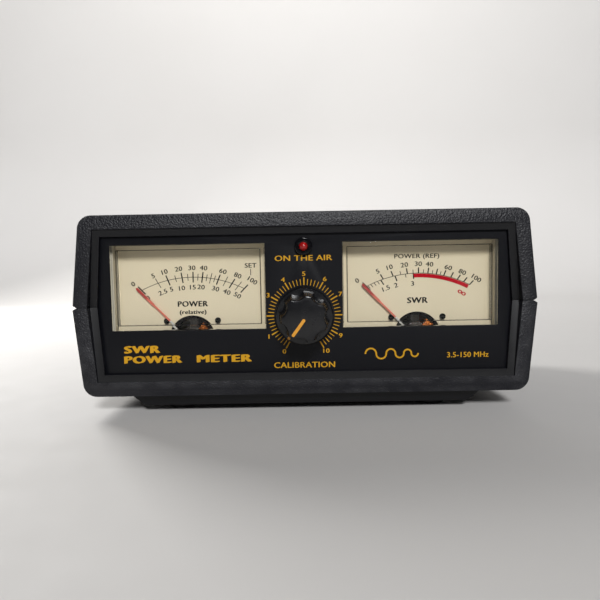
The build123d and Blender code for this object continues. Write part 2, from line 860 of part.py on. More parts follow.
with BuildPart() as calibration_knob:
    round_bar(0, knob_z, skirt_y, body_y, knob_skirt_radius)
    chamfer(calibration_knob.edges().group_by(Axis.Y)[0], knob_edge)
    with BuildSketch(turned(0, body_y, knob_z, knob_rest)):
        Circle(knob_body_radius)
        with PolarLocations(knob_scallop_centre, knob_lobes, start_angle=90 + 180 / knob_lobes):
            Circle(knob_scallop_radius, mode=Mode.SUBTRACT)
    extrude(amount=body_y - knob_tip_y, taper=knob_body_taper)
    with Locations((0, knob_tip_y + knob_face_radius, seam_z + knob_z)):
        Sphere(knob_face_radius, mode=Mode.INTERSECT)
    fillet(calibration_knob.faces().sort_by(Axis.Y)[0].edges(), knob_edge)
    round_bar(0, knob_z, skirt_y, recess_end_y, knob_recess_radius, mode=Mode.SUBTRACT)
    round_bar(0, knob_z, recess_end_y, bore_end_y, shaft_radius + shaft_fit, mode=Mode.SUBTRACT)

    # The set screw comes in from the side that is opposite the pointer.
    with BuildSketch(Plane(origin=(0, set_screw_y, seam_z + knob_z), z_dir=turned(0, 0, 0, knob_rest).y_dir)):
        Circle(set_screw_radius + thread_fit)
    extrude(amount=-knob_body_radius, mode=Mode.SUBTRACT)

    # Grooves for the pointer line on the face and the dot on the skirt.
    with BuildSketch(turned(0, knob_tip_y, knob_z, knob_rest)):
        with Locations((0, pointer_length / 2)):
            SlotOverall(pointer_length, pointer_width, rotation=90)
    extrude(amount=-pointer_depth, mode=Mode.SUBTRACT)
    with BuildSketch(turned(0, body_y, knob_z, knob_rest)):
        with Locations((0, dot_centre)):
            Circle(dot_radius)
    extrude(amount=-pointer_depth, mode=Mode.SUBTRACT)
save(calibration_knob, "calibration_knob")

with BuildPart() as knob_pointer:
    with BuildSketch(turned(0, knob_tip_y, knob_z, knob_rest)):
        with Locations((0, pointer_length / 2)):
            SlotOverall(pointer_length, pointer_width, rotation=90)
    extrude(amount=-pointer_depth)
    with BuildSketch(turned(0, body_y, knob_z, knob_rest)):
        with Locations((0, dot_centre)):
            Circle(dot_radius)
    extrude(amount=-pointer_depth)
    with Locations((0, knob_tip_y + knob_face_radius, seam_z + knob_z)):
        Sphere(knob_face_radius, mode=Mode.INTERSECT)
save(knob_pointer, "knob_pointer")

with BuildPart() as knob_set_screw:
    inward = turned(0, 0, 0, knob_rest).y_dir
    screw_start = Vector(0, set_screw_y, seam_z + knob_z) - inward * (shaft_radius + shaft_fit)
    with BuildSketch(Plane(origin=screw_start, z_dir=-inward)):
        Circle(set_screw_radius)
    extrude(amount=set_screw_length)
    with BuildSketch(Plane(origin=screw_start - inward * set_screw_length, z_dir=inward)):
        RegularPolygon(set_screw_socket, 6)
    extrude(amount=set_screw_length / 2, mode=Mode.SUBTRACT)
save(knob_set_screw, "knob_set_screw")

# --- Potentiometer -------------------------------------------------------------------------------
bushing_front_y = panel_y - bushing_reach
bushing_plate_end_y = pot_y + bushing_plate_thickness
pot_end_y = pot_y + pot_depth
track_end_y = pot_end_y - pot_wall
track_y = track_end_y - pot_track_thickness
rotor_end_y = track_y - pot_track_gap
rotor_y = rotor_end_y - rotor_thickness

with BuildPart() as pot_shaft:
    round_bar(0, knob_z, bore_end_y + shaft_tip_gap, rotor_y, shaft_radius)
    chamfer(pot_shaft.edges().group_by(Axis.Y)[0], knob_edge)
save(pot_shaft, "pot_shaft")

with BuildPart() as pot_wiper:
    round_bar(0, knob_z, rotor_y, rotor_end_y, rotor_radius - wiper_reach)
    with BuildSketch(turned(0, rotor_y, knob_z, knob_rest)):
        with Locations((0, rotor_radius / 2)):
            Rectangle(pointer_width * 2, rotor_radius)
    extrude(amount=rotor_y - rotor_end_y)
save(pot_wiper, "pot_wiper")

with BuildPart() as pot_bushing:
    round_bar(0, knob_z, bushing_front_y, pot_y, bushing_radius)
    round_bar(0, knob_z, pot_y, bushing_plate_end_y, pot_radius - pot_wall)
    round_bar(
        0, knob_z, bushing_front_y, bushing_plate_end_y, shaft_radius + shaft_running_fit,
        mode=Mode.SUBTRACT,
    )
save(pot_bushing, "pot_bushing")

with BuildPart() as pot_washer:
    round_bar(0, knob_z, panel_y - washer_thickness, panel_y, washer_radius)
    round_bar(
        0, knob_z, panel_y - washer_thickness, panel_y, bushing_radius + bushing_hole_fit,
        mode=Mode.SUBTRACT,
    )
save(pot_washer, "pot_washer")

nut_y = panel_y - washer_thickness - nut_height
with BuildPart() as pot_nut:
    with BuildSketch(facing(nut_y)):
        with Locations((0, knob_z)):
            RegularPolygon(nut_width / 2, 6, major_radius=False)
            Circle(bushing_radius + thread_fit, mode=Mode.SUBTRACT)
    extrude(amount=-nut_height)
save(pot_nut, "pot_nut")

with BuildPart() as pot_body:
    round_bar(0, knob_z, pot_y, pot_end_y, pot_radius)
    round_bar(0, knob_z, pot_y, track_end_y, pot_radius - pot_wall, mode=Mode.SUBTRACT)
    slot_half = tag_pitch + tag_width / 2 + screw_clearance
    slot_start_y = track_y - tag_thickness - pot_track_gap
    block(
        -slot_half, slot_half, knob_z - 2 * pot_radius, knob_z - pot_radius / 2,
        slot_start_y, track_end_y, mode=Mode.SUBTRACT,
    )
save(pot_body, "pot_body")

with BuildPart() as pot_track:
    round_bar(0, knob_z, track_y, track_end_y, pot_radius - pot_wall)
    round_bar(0, knob_z, track_y, track_end_y, shaft_radius, mode=Mode.SUBTRACT)
save(pot_track, "pot_track")

with BuildPart() as pot_terminals:
    for tag_x in (-tag_pitch, 0, tag_pitch):
        block(
            tag_x - tag_width / 2,
            tag_x + tag_width / 2,
            knob_z - pot_radius - tag_drop,
            knob_z - pot_radius + tag_root,
            track_y - tag_thickness,
            track_y,
        )
        round_bar(
            tag_x, knob_z - pot_radius - tag_drop + tag_width, track_y - tag_thickness, track_y,
            tag_width / 4, mode=Mode.SUBTRACT,
        )
save(pot_terminals, "pot_terminals")

# --- Indicator lamp ------------------------------------------------------------------------------
lamp_seat_y = panel_y + lamp_body_depth
with BuildPart() as led:
    round_bar(0, lamp_z, panel_y - lamp_reach + lamp_radius, lamp_seat_y, lamp_radius)
    with Locations((0, panel_y - lamp_reach + lamp_radius, seam_z + lamp_z)):
        Sphere(lamp_radius)
    round_bar(0, lamp_z, lamp_seat_y - lamp_flange_height, lamp_seat_y, lamp_flange_radius)
save(led, "led")

clip_end_y = panel_y + front_panel_thickness + clip_tail - lamp_fit
with BuildPart() as led_clip:
    round_bar(0, lamp_z, panel_y - clip_front, panel_y, clip_radius)
    fillet(led_clip.edges().group_by(Axis.Y)[0], clip_edge)
    round_bar(0, lamp_z, panel_y, clip_end_y - clip_fit, clip_sleeve_radius)
    round_bar(
        0, lamp_z, panel_y - clip_front, clip_end_y, lamp_radius + lamp_fit, mode=Mode.SUBTRACT
    )
    round_bar(
        0, lamp_z, lamp_seat_y - lamp_flange_height - lamp_fit, clip_end_y,
        lamp_flange_radius + lamp_fit, mode=Mode.SUBTRACT,
    )
save(led_clip, "led_clip")

with BuildPart() as led_leads:
    for lead_x in (-lead_spacing / 2, lead_spacing / 2):
        block(
            lead_x - lead_half_width,
            lead_x + lead_half_width,
            lamp_z - lead_half_width,
            lamp_z + lead_half_width,
            lamp_seat_y,
            lamp_seat_y + lead_length,
        )
save(led_leads, "led_leads")

# --- Sockets -------------------------------------------------------------------------------------
socket_end_y = rear_panel_y + socket_reach
flange_end_y = rear_panel_y + socket_flange_thickness
inner_panel_y = rear_panel_y - rear_panel_thickness
insulator_end_y = socket_end_y - insulator_front
insulator_start_y = rear_panel_y - socket_boss_length
contact_end_y = socket_end_y - contact_setback
contact_start_y = board_y - board_solder


def socket_shell(x):
    """A square-flanged coaxial socket with a threaded barrel."""
    with BuildPart() as shell:
        with BuildSketch(facing(rear_panel_y)):
            with Locations((x, socket_height)):
                RectangleRounded(socket_flange, socket_flange, socket_flange_corner)
                with GridLocations(socket_hole_spacing, socket_hole_spacing, 2, 2):
                    Circle(socket_screw_radius + socket_screw_fit, mode=Mode.SUBTRACT)
        extrude(amount=-socket_flange_thickness)
        round_bar(x, socket_height, insulator_start_y, rear_panel_y, socket_boss_radius)
        round_bar(x, socket_height, rear_panel_y, socket_end_y, socket_thread_radius)
        for turn in range(thread_turns):
            groove_y = flange_end_y + thread_start + (turn + 0.25) * thread_pitch
            with BuildSketch(facing(groove_y)):
                with Locations((x, socket_height)):
                    Circle(socket_thread_radius + thread_depth)
                    Circle(socket_thread_radius - thread_depth, mode=Mode.SUBTRACT)
            extrude(amount=-thread_pitch / 2, mode=Mode.SUBTRACT)
        round_bar(
            x, socket_height, insulator_start_y, socket_end_y, socket_bore_radius, mode=Mode.SUBTRACT
        )
    return shell


def socket_insulator(x):
    """The insulator between the shell and the centre contact."""
    with BuildPart() as insulator:
        tail_y = insulator_start_y - insulator_tail
        round_bar(x, socket_height, insulator_start_y, insulator_end_y, socket_bore_radius - insulator_fit)
        round_bar(x, socket_height, tail_y, insulator_start_y, insulator_tail_radius)
        round_bar(
            x, socket_height, tail_y, insulator_end_y, contact_radius + contact_fit, mode=Mode.SUBTRACT
        )
    return insulator


def socket_contact(x):
    """The centre contact: a tube that takes the plug's pin, and a tail that runs to the board."""
    with BuildPart() as contact:
        tail_y = insulator_start_y - insulator_tail
        round_bar(x, socket_height, tail_y, contact_end_y, contact_radius)
        round_bar(x, socket_height, contact_start_y, tail_y, contact_tail_radius)
        round_bar(
            x, socket_height, contact_end_y - contact_bore_depth, contact_end_y, contact_bore_radius,
            mode=Mode.SUBTRACT,
        )
    return contact


for socket_name, socket_x in socket_xs.items():
    save(socket_shell(socket_x), f"{socket_name}_socket")
    save(socket_insulator(socket_x), f"{socket_name}_insulator")
    save(socket_contact(socket_x), f"{socket_name}_contact")

with BuildPart() as socket_screws:
    for screw_x, screw_z in socket_screw_places:
        head_end_y = flange_end_y + socket_screw_head_height
        round_bar(screw_x, screw_z, flange_end_y, head_end_y, socket_screw_head_radius)
        round_bar(screw_x, screw_z, head_end_y - socket_screw_length, flange_end_y, socket_screw_radius)
        for half_width, half_height in (
            (cross_length / 2, cross_width / 2),
            (cross_width / 2, cross_length / 2),
        ):
            block(
                screw_x - half_width, screw_x + half_width, screw_z - half_height, screw_z + half_height,
                head_end_y - cross_depth, head_end_y, mode=Mode.SUBTRACT,
            )
save(socket_screws, "socket_screws")

with BuildPart() as socket_nuts:
    with BuildSketch(facing(inner_panel_y)):
        with Locations(*socket_screw_places):
            RegularPolygon(socket_nut_width / 2, 6, major_radius=False)
            Circle(socket_screw_radius + thread_fit, mode=Mode.SUBTRACT)
    extrude(amount=socket_nut_height)
save(socket_nuts, "socket_nuts")

# --- Line coupler --------------------------------------------------------------------------------
board_half = socket_spacing / 2 + board_margin
board_end_y = board_y + board_thickness
board_low = socket_height - board_height / 2
board_high = socket_height + board_height / 2

with BuildPart() as coupler_board:
    block(-board_half, board_half, board_low, board_high, board_y, board_end_y)
    for socket_x in socket_xs.values():
        round_bar(
            socket_x, socket_height, board_y, board_end_y, contact_tail_radius + contact_fit,
            mode=Mode.SUBTRACT,
        )
save(coupler_board, "coupler_board")

with BuildPart() as line_tracks:
    track_start_y = board_y - track_thickness
    block(
        -socket_spacing / 2, socket_spacing / 2, socket_height - track_half_width,
        socket_height + track_half_width, track_start_y, board_y,
    )
    for pickup_z in (socket_height - 3 * track_half_width, socket_height + 3 * track_half_width):
        block(
            -socket_spacing / 2 + board_margin, socket_spacing / 2 - board_margin,
            pickup_z - track_half_width / 2, pickup_z + track_half_width / 2, track_start_y, board_y,
        )
    for socket_x in socket_xs.values():
        round_bar(
            socket_x, socket_height, track_start_y, board_y, contact_tail_radius + contact_fit,
            mode=Mode.SUBTRACT,
        )
save(line_tracks, "line_tracks")

with BuildPart() as coupler_trough:
    inner = trough_half_height - trough_thickness
    block(
        -board_half, board_half, socket_height - trough_half_height,
        socket_height + trough_half_height, board_end_y, inner_panel_y,
    )
    block(
        -board_half, board_half, socket_height - inner, socket_height + inner,
        board_end_y, inner_panel_y - trough_thickness, mode=Mode.SUBTRACT,
    )
    for socket_x in socket_xs.values():
        half = inner - trough_thickness
        block(
            socket_x - half, socket_x + half, socket_height - half, socket_height + half,
            inner_panel_y - trough_thickness, inner_panel_y, mode=Mode.SUBTRACT,
        )
save(coupler_trough, "coupler_trough")


def lying_part(x, z, radius, length):
    """An axial component that lies along X in front of the board, with its two bent leads."""
    axis_y = board_y - part_height
    half = length / 2 + part_lead_reach
    with BuildSketch(Plane(origin=(x - length / 2, axis_y, seam_z + z), z_dir=(1, 0, 0))) as body:
        Circle(radius)
    extrude(body.sketch, amount=length)
    with BuildSketch(Plane(origin=(x - half, axis_y, seam_z + z), z_dir=(1, 0, 0))) as lead:
        Circle(part_lead_radius)
    extrude(lead.sketch, amount=2 * half)
    for lead_x in (x - half, x + half):
        round_bar(lead_x, z, axis_y, board_y, part_lead_radius)
        with Locations((lead_x, axis_y, seam_z + z)):
            Sphere(part_lead_radius)


part_rise = board_height / 2 - 2 * resistor_radius
part_x = socket_spacing / 2 - resistor_length
with BuildPart() as detector_diodes:
    for diode_x in (-part_x, part_x):
        lying_part(diode_x, socket_height + part_rise, diode_radius, diode_length)
save(detector_diodes, "detector_diodes")

with BuildPart() as board_resistors:
    for resistor_x in (-part_x, 0, part_x):
        lying_part(resistor_x, socket_height - part_rise, resistor_radius, resistor_length)
save(board_resistors, "board_resistors")

capacitor_x = capacitor_radius + capacitor_lift
with BuildPart() as bypass_capacitors:
    for disc_x in (-capacitor_x, capacitor_x):
        capacitor_z = socket_height + part_rise
        disc_end_y = board_y - capacitor_lift
        disc_start_y = disc_end_y - 2 * capacitor_radius
        middle_y = (disc_start_y + disc_end_y) / 2
        start_z = capacitor_z - capacitor_thickness / 2
        with BuildSketch(Plane.XY.offset(seam_z + start_z)):
            with Locations((disc_x, middle_y)):
                Circle(capacitor_radius)
        extrude(amount=capacitor_thickness)
        for lead_x in (disc_x - capacitor_radius / 2, disc_x + capacitor_radius / 2):
            round_bar(lead_x, capacitor_z, middle_y, board_y, part_lead_radius)
save(bypass_capacitors, "bypass_capacitors")


# --- Wires ---------------------------------------------------------------------------------------
def wire(points):
    """A tube along straight runs joined by arcs as large as the runs allow, in the open part."""
    places = [Vector(*point) for point in points]
    radii = []
    for before, corner, after in zip(places, places[1:], places[2:]):
        turn = (corner - before).get_angle(after - corner)
        shorter = min((corner - before).length, (after - corner).length)
        radii.append(0.45 * shorter / tan(radians(turn) / 2))
    with BuildLine() as route:
        FilletPolyline(*places, radius=radii)
    with BuildSketch(Plane(origin=places[0], z_dir=places[1] - places[0])) as section:
        Circle(wire_radius)
    sweep(section.sketch, path=route.line)
    print("wire radii", [round(radius, 1) for radius in radii])


wire_start_y = board_y - wire_socket_gap
terminal_z = seam_z + pivot_z + terminal_height
stud_end_y = housing_rear_y + terminal_reach + wire_socket_gap
tag_z = seam_z + knob_z - pot_radius - tag_drop
board_edge_z = seam_z + socket_height + board_height / 2 - 3 * wire_radius
wire_middle_y = (wire_start_y + stud_end_y) / 2
wire_foot_x = socket_spacing / 2 + 4.0

with BuildPart() as meter_wires:
    for side_x, board_x in ((-meter_x, -wire_foot_x), (meter_x, wire_foot_x)):
        for dx, dy in ((-terminal_x, -2.0), (terminal_x, 2.0)):
            stud_x = side_x + dx
            foot_of_wire_x = board_x + dx / 3
            wire(
                [
                    (foot_of_wire_x, wire_start_y, board_edge_z),
                    (foot_of_wire_x, wire_middle_y + 4.0 + dy, board_edge_z + 1.0),
                    (stud_x, wire_middle_y - 3.0 + dy, terminal_z + 1.5),
                    (stud_x, stud_end_y, terminal_z),
                ]
            )
save(meter_wires, "meter_wires")

with BuildPart() as knob_wires:
    for tag_x, board_x in ((-tag_pitch, -12.0), (0, -8.0), (tag_pitch, 10.0)):
        board_low_z = seam_z + board_low + 3 * wire_radius
        tag_back_y = track_y + pot_track_gap + wire_radius
        wire(
            [
                (board_x, wire_start_y, board_low_z),
                (board_x * 0.9, wire_middle_y + 6.0, board_low_z - 0.8),
                (tag_x, pot_end_y + 12.0, tag_z + 0.6),
                (tag_x, tag_back_y, tag_z + tag_width),
            ]
        )
save(knob_wires, "knob_wires")
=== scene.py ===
# %% [markdown]
# # An SWR and power meter for a radio desk
# The real instrument is a moulded black case with a satin panel. Behind two clear covers stand
# moving-coil meters with cream dials, and between them a knob and a small red lamp. The packed
# model already has every part at its true size and place. This lesson gives the parts their
# finishes, rounds the moulded edges, prints the dials and the panel, and then lights the result.

import json
import math

import bpy
from mathutils import Matrix, Vector

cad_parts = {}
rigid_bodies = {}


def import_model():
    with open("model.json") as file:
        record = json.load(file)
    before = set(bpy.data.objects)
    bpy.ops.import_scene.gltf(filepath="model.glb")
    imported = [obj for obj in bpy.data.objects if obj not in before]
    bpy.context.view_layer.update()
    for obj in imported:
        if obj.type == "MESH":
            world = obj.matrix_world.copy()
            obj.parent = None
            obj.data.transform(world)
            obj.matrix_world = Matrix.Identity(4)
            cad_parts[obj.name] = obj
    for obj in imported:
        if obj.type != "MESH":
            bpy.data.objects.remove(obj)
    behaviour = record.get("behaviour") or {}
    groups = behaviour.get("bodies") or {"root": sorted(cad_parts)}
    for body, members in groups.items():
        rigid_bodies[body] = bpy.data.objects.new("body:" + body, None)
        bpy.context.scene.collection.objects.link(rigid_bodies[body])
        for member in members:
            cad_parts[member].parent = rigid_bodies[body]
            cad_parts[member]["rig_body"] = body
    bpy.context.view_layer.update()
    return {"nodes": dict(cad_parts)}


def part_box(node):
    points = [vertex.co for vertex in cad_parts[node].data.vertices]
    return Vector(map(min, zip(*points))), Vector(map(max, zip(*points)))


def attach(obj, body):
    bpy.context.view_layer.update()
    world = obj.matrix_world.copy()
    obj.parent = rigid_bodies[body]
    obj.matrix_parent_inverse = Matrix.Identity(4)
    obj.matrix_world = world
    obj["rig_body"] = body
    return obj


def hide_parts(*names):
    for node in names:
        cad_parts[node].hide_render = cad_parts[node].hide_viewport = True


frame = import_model()
scene = bpy.context.scene
MM = 0.001

# %% [markdown]
# ## Places on the object
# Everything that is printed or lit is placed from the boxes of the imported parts. The iron core of
# each movement is centred on the pivot, so it gives the point that the scales turn about. The
# seam of the case is the height from which the panel's lettering is measured.

# %% Find the places


def centre(node):
    """The middle of a CAD node's box."""
    low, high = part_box(node)
    return (low + high) / 2


PANEL_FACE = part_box("front_panel")[0].y
REAR_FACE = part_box("rear_panel")[1].y
DIAL_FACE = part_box("left_dial_plate")[0].y
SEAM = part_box("upper_case")[0].z
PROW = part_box("upper_case")[0].y
KNOB = centre("calibration_knob")
PIVOTS = {side: centre(f"{side}_core") for side in ("left", "right")}
print("seam at", round(SEAM / MM, 2), "pivots at", {s: round(p.x / MM, 2) for s, p in PIVOTS.items()})

# %% [markdown]
# ## Shared effects
# Moulded, painted and metal surfaces share a few traits: a fine grain, a slow drift of colour,
# paler worn edges, and dust on what faces up. Each is a node group with named inputs, built once
# and placed in every material with that finish's own values. All of them read Object coordinates,
# so the pattern stays on its piece when the piece moves.

# %% Start a node group


def start_group(title, inputs, outputs):
    """Makes a shader node group with these sockets and returns it with its two end nodes."""
    group = bpy.data.node_groups.new(title, "ShaderNodeTree")
    for label, kind, value in inputs:
        socket = group.interface.new_socket(label, in_out="INPUT", socket_type=kind)
        socket.default_value = value
    for label, kind in outputs:
        group.interface.new_socket(label, in_out="OUTPUT", socket_type=kind)
    return group, group.nodes.new("NodeGroupInput"), group.nodes.new("NodeGroupOutput")


print("helper: start_group")

# %% [markdown]
# Small helpers add the nodes that the groups are built from. Most of them give back one output,
# so that one can be written inside another. The mixer gives back all four of its sockets.

# %% Small node helpers


def scaled_place(group, entry):
    """Object coordinates divided by the group's Size, as a vector output."""
    place = group.nodes.new("ShaderNodeTexCoord")
    inverse = group.nodes.new("ShaderNodeMath")
    inverse.operation = "DIVIDE"
    inverse.inputs[0].default_value = 1.0
    scale = group.nodes.new("ShaderNodeVectorMath")
    scale.operation = "SCALE"
    group.links.new(entry.outputs["Size"], inverse.inputs[1])
    group.links.new(place.outputs["Object"], scale.inputs[0])
    group.links.new(inverse.outputs["Value"], scale.inputs["Scale"])
    return scale.outputs["Vector"]


def noise(group, vector, scale, detail):
    """A noise texture of this scale and detail on a vector, as a value output."""
    texture = group.nodes.new("ShaderNodeTexNoise")
    texture.inputs["Scale"].default_value = scale
    texture.inputs["Detail"].default_value = detail
    group.links.new(vector, texture.inputs["Vector"])
    return texture.outputs[0]


def remap(group, value, low, high):
    """Stretches the part of a value from low to high over 0 to 1."""
    ramp = group.nodes.new("ShaderNodeMapRange")
    ramp.inputs["From Min"].default_value = low
    ramp.inputs["From Max"].default_value = high
    group.links.new(value, ramp.inputs["Value"])
    return ramp.outputs["Result"]


def multiply(group, first, second):
    """The product of two values."""
    product = group.nodes.new("ShaderNodeMath")
    product.operation = "MULTIPLY"
    group.links.new(first, product.inputs[0])
    group.links.new(second, product.inputs[1])
    return product.outputs["Value"]


def colour_mix(group):
    """A mixer of colours: its share, the colour below, the colour above and the result."""
    mixer = group.nodes.new("ShaderNodeMix")
    mixer.data_type = "RGBA"
    return mixer.inputs[0], mixer.inputs[6], mixer.inputs[7], mixer.outputs[2]


print("helpers: scaled_place, noise, remap, multiply, colour_mix")


# %% [markdown]
# Grain gives a height for bump and a slower tone for roughness. Stretched lines do the same with
# the coordinates pulled along one direction, for brushed and turned metal and for wound wire.

# %% Grain and lines
SIZE_INPUT = ("Size", "NodeSocketFloat", MM)
TEXTURE_OUTPUTS = [("Height", "NodeSocketFloat"), ("Tone", "NodeSocketFloat")]
FINE_SCALE = 1.0
SLOW_SCALE = 0.13
LOW_DETAIL = 2.0
MIDDLE_DETAIL = 3.0
HIGH_DETAIL = 4.0
NOISE_SPAN = (0.3, 0.7)

grain_group, entry, leave = start_group("fine grain", [SIZE_INPUT], TEXTURE_OUTPUTS)
vector = scaled_place(grain_group, entry)
grain_group.links.new(noise(grain_group, vector, FINE_SCALE, LOW_DETAIL), leave.inputs["Height"])
slow = remap(grain_group, noise(grain_group, vector, SLOW_SCALE, HIGH_DETAIL), *NOISE_SPAN)
grain_group.links.new(slow, leave.inputs["Tone"])

line_group, entry, leave = start_group(
    "stretched lines",
    [SIZE_INPUT, ("Stretch", "NodeSocketVector", (1.0, 1.0, 1.0))],
    TEXTURE_OUTPUTS,
)
vector = scaled_place(line_group, entry)
stretch = line_group.nodes.new("ShaderNodeVectorMath")
stretch.operation = "MULTIPLY"
line_group.links.new(vector, stretch.inputs[0])
line_group.links.new(entry.outputs["Stretch"], stretch.inputs[1])
lines = noise(line_group, stretch.outputs["Vector"], FINE_SCALE, MIDDLE_DETAIL)
line_group.links.new(lines, leave.inputs["Height"])
line_group.links.new(remap(line_group, lines, *NOISE_SPAN), leave.inputs["Tone"])
print("groups:", [group.name for group in bpy.data.node_groups])

# %% [markdown]
# Colour drift mixes two near colours over a few centimetres. Edge wear reads how sharply the
# surface turns, which is high on outside edges, and breaks it up with noise. Dust lies where the
# surface faces up.

# %% Drift, wear and dust
SHARP_SPAN = (0.515, 0.60)
PATCH_SPAN = (0.35, 0.65)
UP_SPAN = (0.55, 1.0)
SPECK_DETAIL = 6.0
GREY = (0.5, 0.5, 0.5, 1.0)
HALF = 0.5

drift_group, entry, leave = start_group(
    "colour drift",
    [("Colour", "NodeSocketColor", GREY), ("Second Colour", "NodeSocketColor", GREY), SIZE_INPUT],
    [("Colour", "NodeSocketColor")],
)
share, below, above, mixed = colour_mix(drift_group)
clouds = noise(drift_group, scaled_place(drift_group, entry), FINE_SCALE, MIDDLE_DETAIL)
drift_group.links.new(remap(drift_group, clouds, *NOISE_SPAN), share)
drift_group.links.new(entry.outputs["Colour"], below)
drift_group.links.new(entry.outputs["Second Colour"], above)
drift_group.links.new(mixed, leave.inputs["Colour"])

AMOUNT_INPUT = ("Amount", "NodeSocketFloat", HALF)
wear_group, entry, leave = start_group(
    "edge wear", [AMOUNT_INPUT, SIZE_INPUT], [("Mask", "NodeSocketFloat")]
)
shape = wear_group.nodes.new("ShaderNodeNewGeometry")
sharp = remap(wear_group, shape.outputs["Pointiness"], *SHARP_SPAN)
chips = noise(wear_group, scaled_place(wear_group, entry), FINE_SCALE, HIGH_DETAIL)
patches = remap(wear_group, chips, *PATCH_SPAN)
mask = multiply(wear_group, multiply(wear_group, sharp, patches), entry.outputs["Amount"])
wear_group.links.new(mask, leave.inputs["Mask"])

dust_group, entry, leave = start_group(
    "settled dust", [AMOUNT_INPUT, SIZE_INPUT], [("Mask", "NodeSocketFloat")]
)
shape = dust_group.nodes.new("ShaderNodeNewGeometry")
split = dust_group.nodes.new("ShaderNodeSeparateXYZ")
dust_group.links.new(shape.outputs["Normal"], split.inputs["Vector"])
upward = remap(dust_group, split.outputs["Z"], *UP_SPAN)
motes = noise(dust_group, scaled_place(dust_group, entry), FINE_SCALE, SPECK_DETAIL)
specks = remap(dust_group, motes, *PATCH_SPAN)
mask = multiply(dust_group, multiply(dust_group, upward, specks), entry.outputs["Amount"])
dust_group.links.new(mask, leave.inputs["Mask"])
print("all groups:", [group.name for group in bpy.data.node_groups])

# %% [markdown]
# ## One recipe for the solid finishes
# Most finishes differ only in their values: two colours, a range of roughness, the size and depth
# of the grain, and whether edges wear or dust settles. One function places the groups and joins
# them to a Principled shader. Values that are the same all over the surface, such as Metallic,
# stay on the shader's own sockets.

# %% Place groups and layers


def place_group(tree, group, **values):
    """Places a node group in a material and sets its inputs; under_scores stand for spaces."""
    node = tree.nodes.new("ShaderNodeGroup")
    node.node_tree = group
    for label, value in values.items():
        node.inputs[label.replace("_", " ")].default_value = value
    return node


def cover(tree, below, colour, mask):
    """Lays a plain colour over another where a mask says so."""
    share, under, over, mixed = colour_mix(tree)
    over.default_value = colour
    tree.links.new(mask, share)
    tree.links.new(below, under)
    return mixed


print("helpers: place_group, cover")

# %% [markdown]
# The recipe lays the colours first, then the roughness and then the bump. The size and the depth
# of a grain belong together, so they are given as a pair. Any other name in the call is that of
# a socket of the shader.

# %% The recipe
finishes = {}
PALE_WEAR = (0.09, 0.09, 0.095, 1.0)
DUST = (0.42, 0.40, 0.37, 1.0)
PATCH_SIZE = 6 * MM
SPECK_SIZE = 1.2 * MM
CLOUD_SIZE = 25 * MM


def finish(slot, title, colour, second, roughness, grain, drift=CLOUD_SIZE, stretch=None, wear=0.0,
           dust=0.0, **shader_values):
    """Makes the finish of one material slot; grain is the size and the depth of its texture."""
    material = bpy.data.materials.new(title)
    material.use_nodes = True
    tree = material.node_tree
    shader = tree.nodes["Principled BSDF"]
    for label, value in shader_values.items():
        shader.inputs[label.replace("_", " ")].default_value = value

    colours = place_group(tree, drift_group, Colour=(*colour, 1), Second_Colour=(*second, 1), Size=drift)
    surface = colours.outputs["Colour"]
    if wear:
        mask = place_group(tree, wear_group, Amount=wear, Size=PATCH_SIZE).outputs["Mask"]
        surface = cover(tree, surface, PALE_WEAR, mask)
    if dust:
        mask = place_group(tree, dust_group, Amount=dust, Size=SPECK_SIZE).outputs["Mask"]
        surface = cover(tree, surface, DUST, mask)
    tree.links.new(surface, shader.inputs["Base Color"])

    grain_size, grain_depth = grain
    if stretch:
        texture = place_group(tree, line_group, Size=grain_size, Stretch=stretch)
    else:
        texture = place_group(tree, grain_group, Size=grain_size)
    gloss = tree.nodes.new("ShaderNodeMapRange")
    gloss.inputs["To Min"].default_value = roughness[0]
    gloss.inputs["To Max"].default_value = roughness[1]
    tree.links.new(texture.outputs["Tone"], gloss.inputs["Value"])
    tree.links.new(gloss.outputs["Result"], shader.inputs["Roughness"])
    bump = tree.nodes.new("ShaderNodeBump")
    bump.inputs["Distance"].default_value = grain_depth
    tree.links.new(texture.outputs["Height"], bump.inputs["Height"])
    tree.links.new(bump.outputs["Normal"], shader.inputs["Normal"])
    finishes[slot] = material
    return material


print("helper: finish")

# %% [markdown]
# ## Moulded parts
# The case has a fine stipple from the mould, a little worn on its outer edges, with some dust on
# top. The panel is smoother and satin. The knob is glossier, since fingers polish it. Feet are
# matt rubber. The tray behind each dial is a pale resin, which fills the covers with soft light.

# %% Case, panel and knob finishes
STIPPLE = (0.55 * MM, 0.26 * MM)
SATIN = (0.16 * MM, 0.001 * MM)
POLISH = (0.3 * MM, 0.001 * MM)
RUBBER = (0.25 * MM, 0.04 * MM)
RESIN = (0.5 * MM, 0.01 * MM)

finish(
    "case_plastic", "stippled black plastic", (0.0050, 0.0052, 0.0080), (0.0066, 0.0068, 0.0100),
    (0.38, 0.42), STIPPLE, wear=0.2, dust=0.01, Specular_IOR_Level=0.38,
)
finish(
    "panel_paint", "satin black paint", (0.0026, 0.0029, 0.0046), (0.0034, 0.0037, 0.0056),
    (0.36, 0.40), SATIN, Specular_IOR_Level=0.22,
)
finish(
    "knob_plastic", "polished black plastic", (0.0028, 0.003, 0.004), (0.0045, 0.0047, 0.006),
    (0.2, 0.28), POLISH, wear=0.12, drift=6 * MM,
)
finish(
    "clip_plastic", "glossy black plastic", (0.002, 0.002, 0.003), (0.003, 0.003, 0.004),
    (0.1, 0.16), POLISH, drift=3 * MM, Specular_IOR_Level=0.3,
)
finish(
    "foot_rubber", "matt black rubber", (0.013, 0.013, 0.013), (0.022, 0.021, 0.02),
    (0.75, 0.92), RUBBER, drift=4 * MM,
)
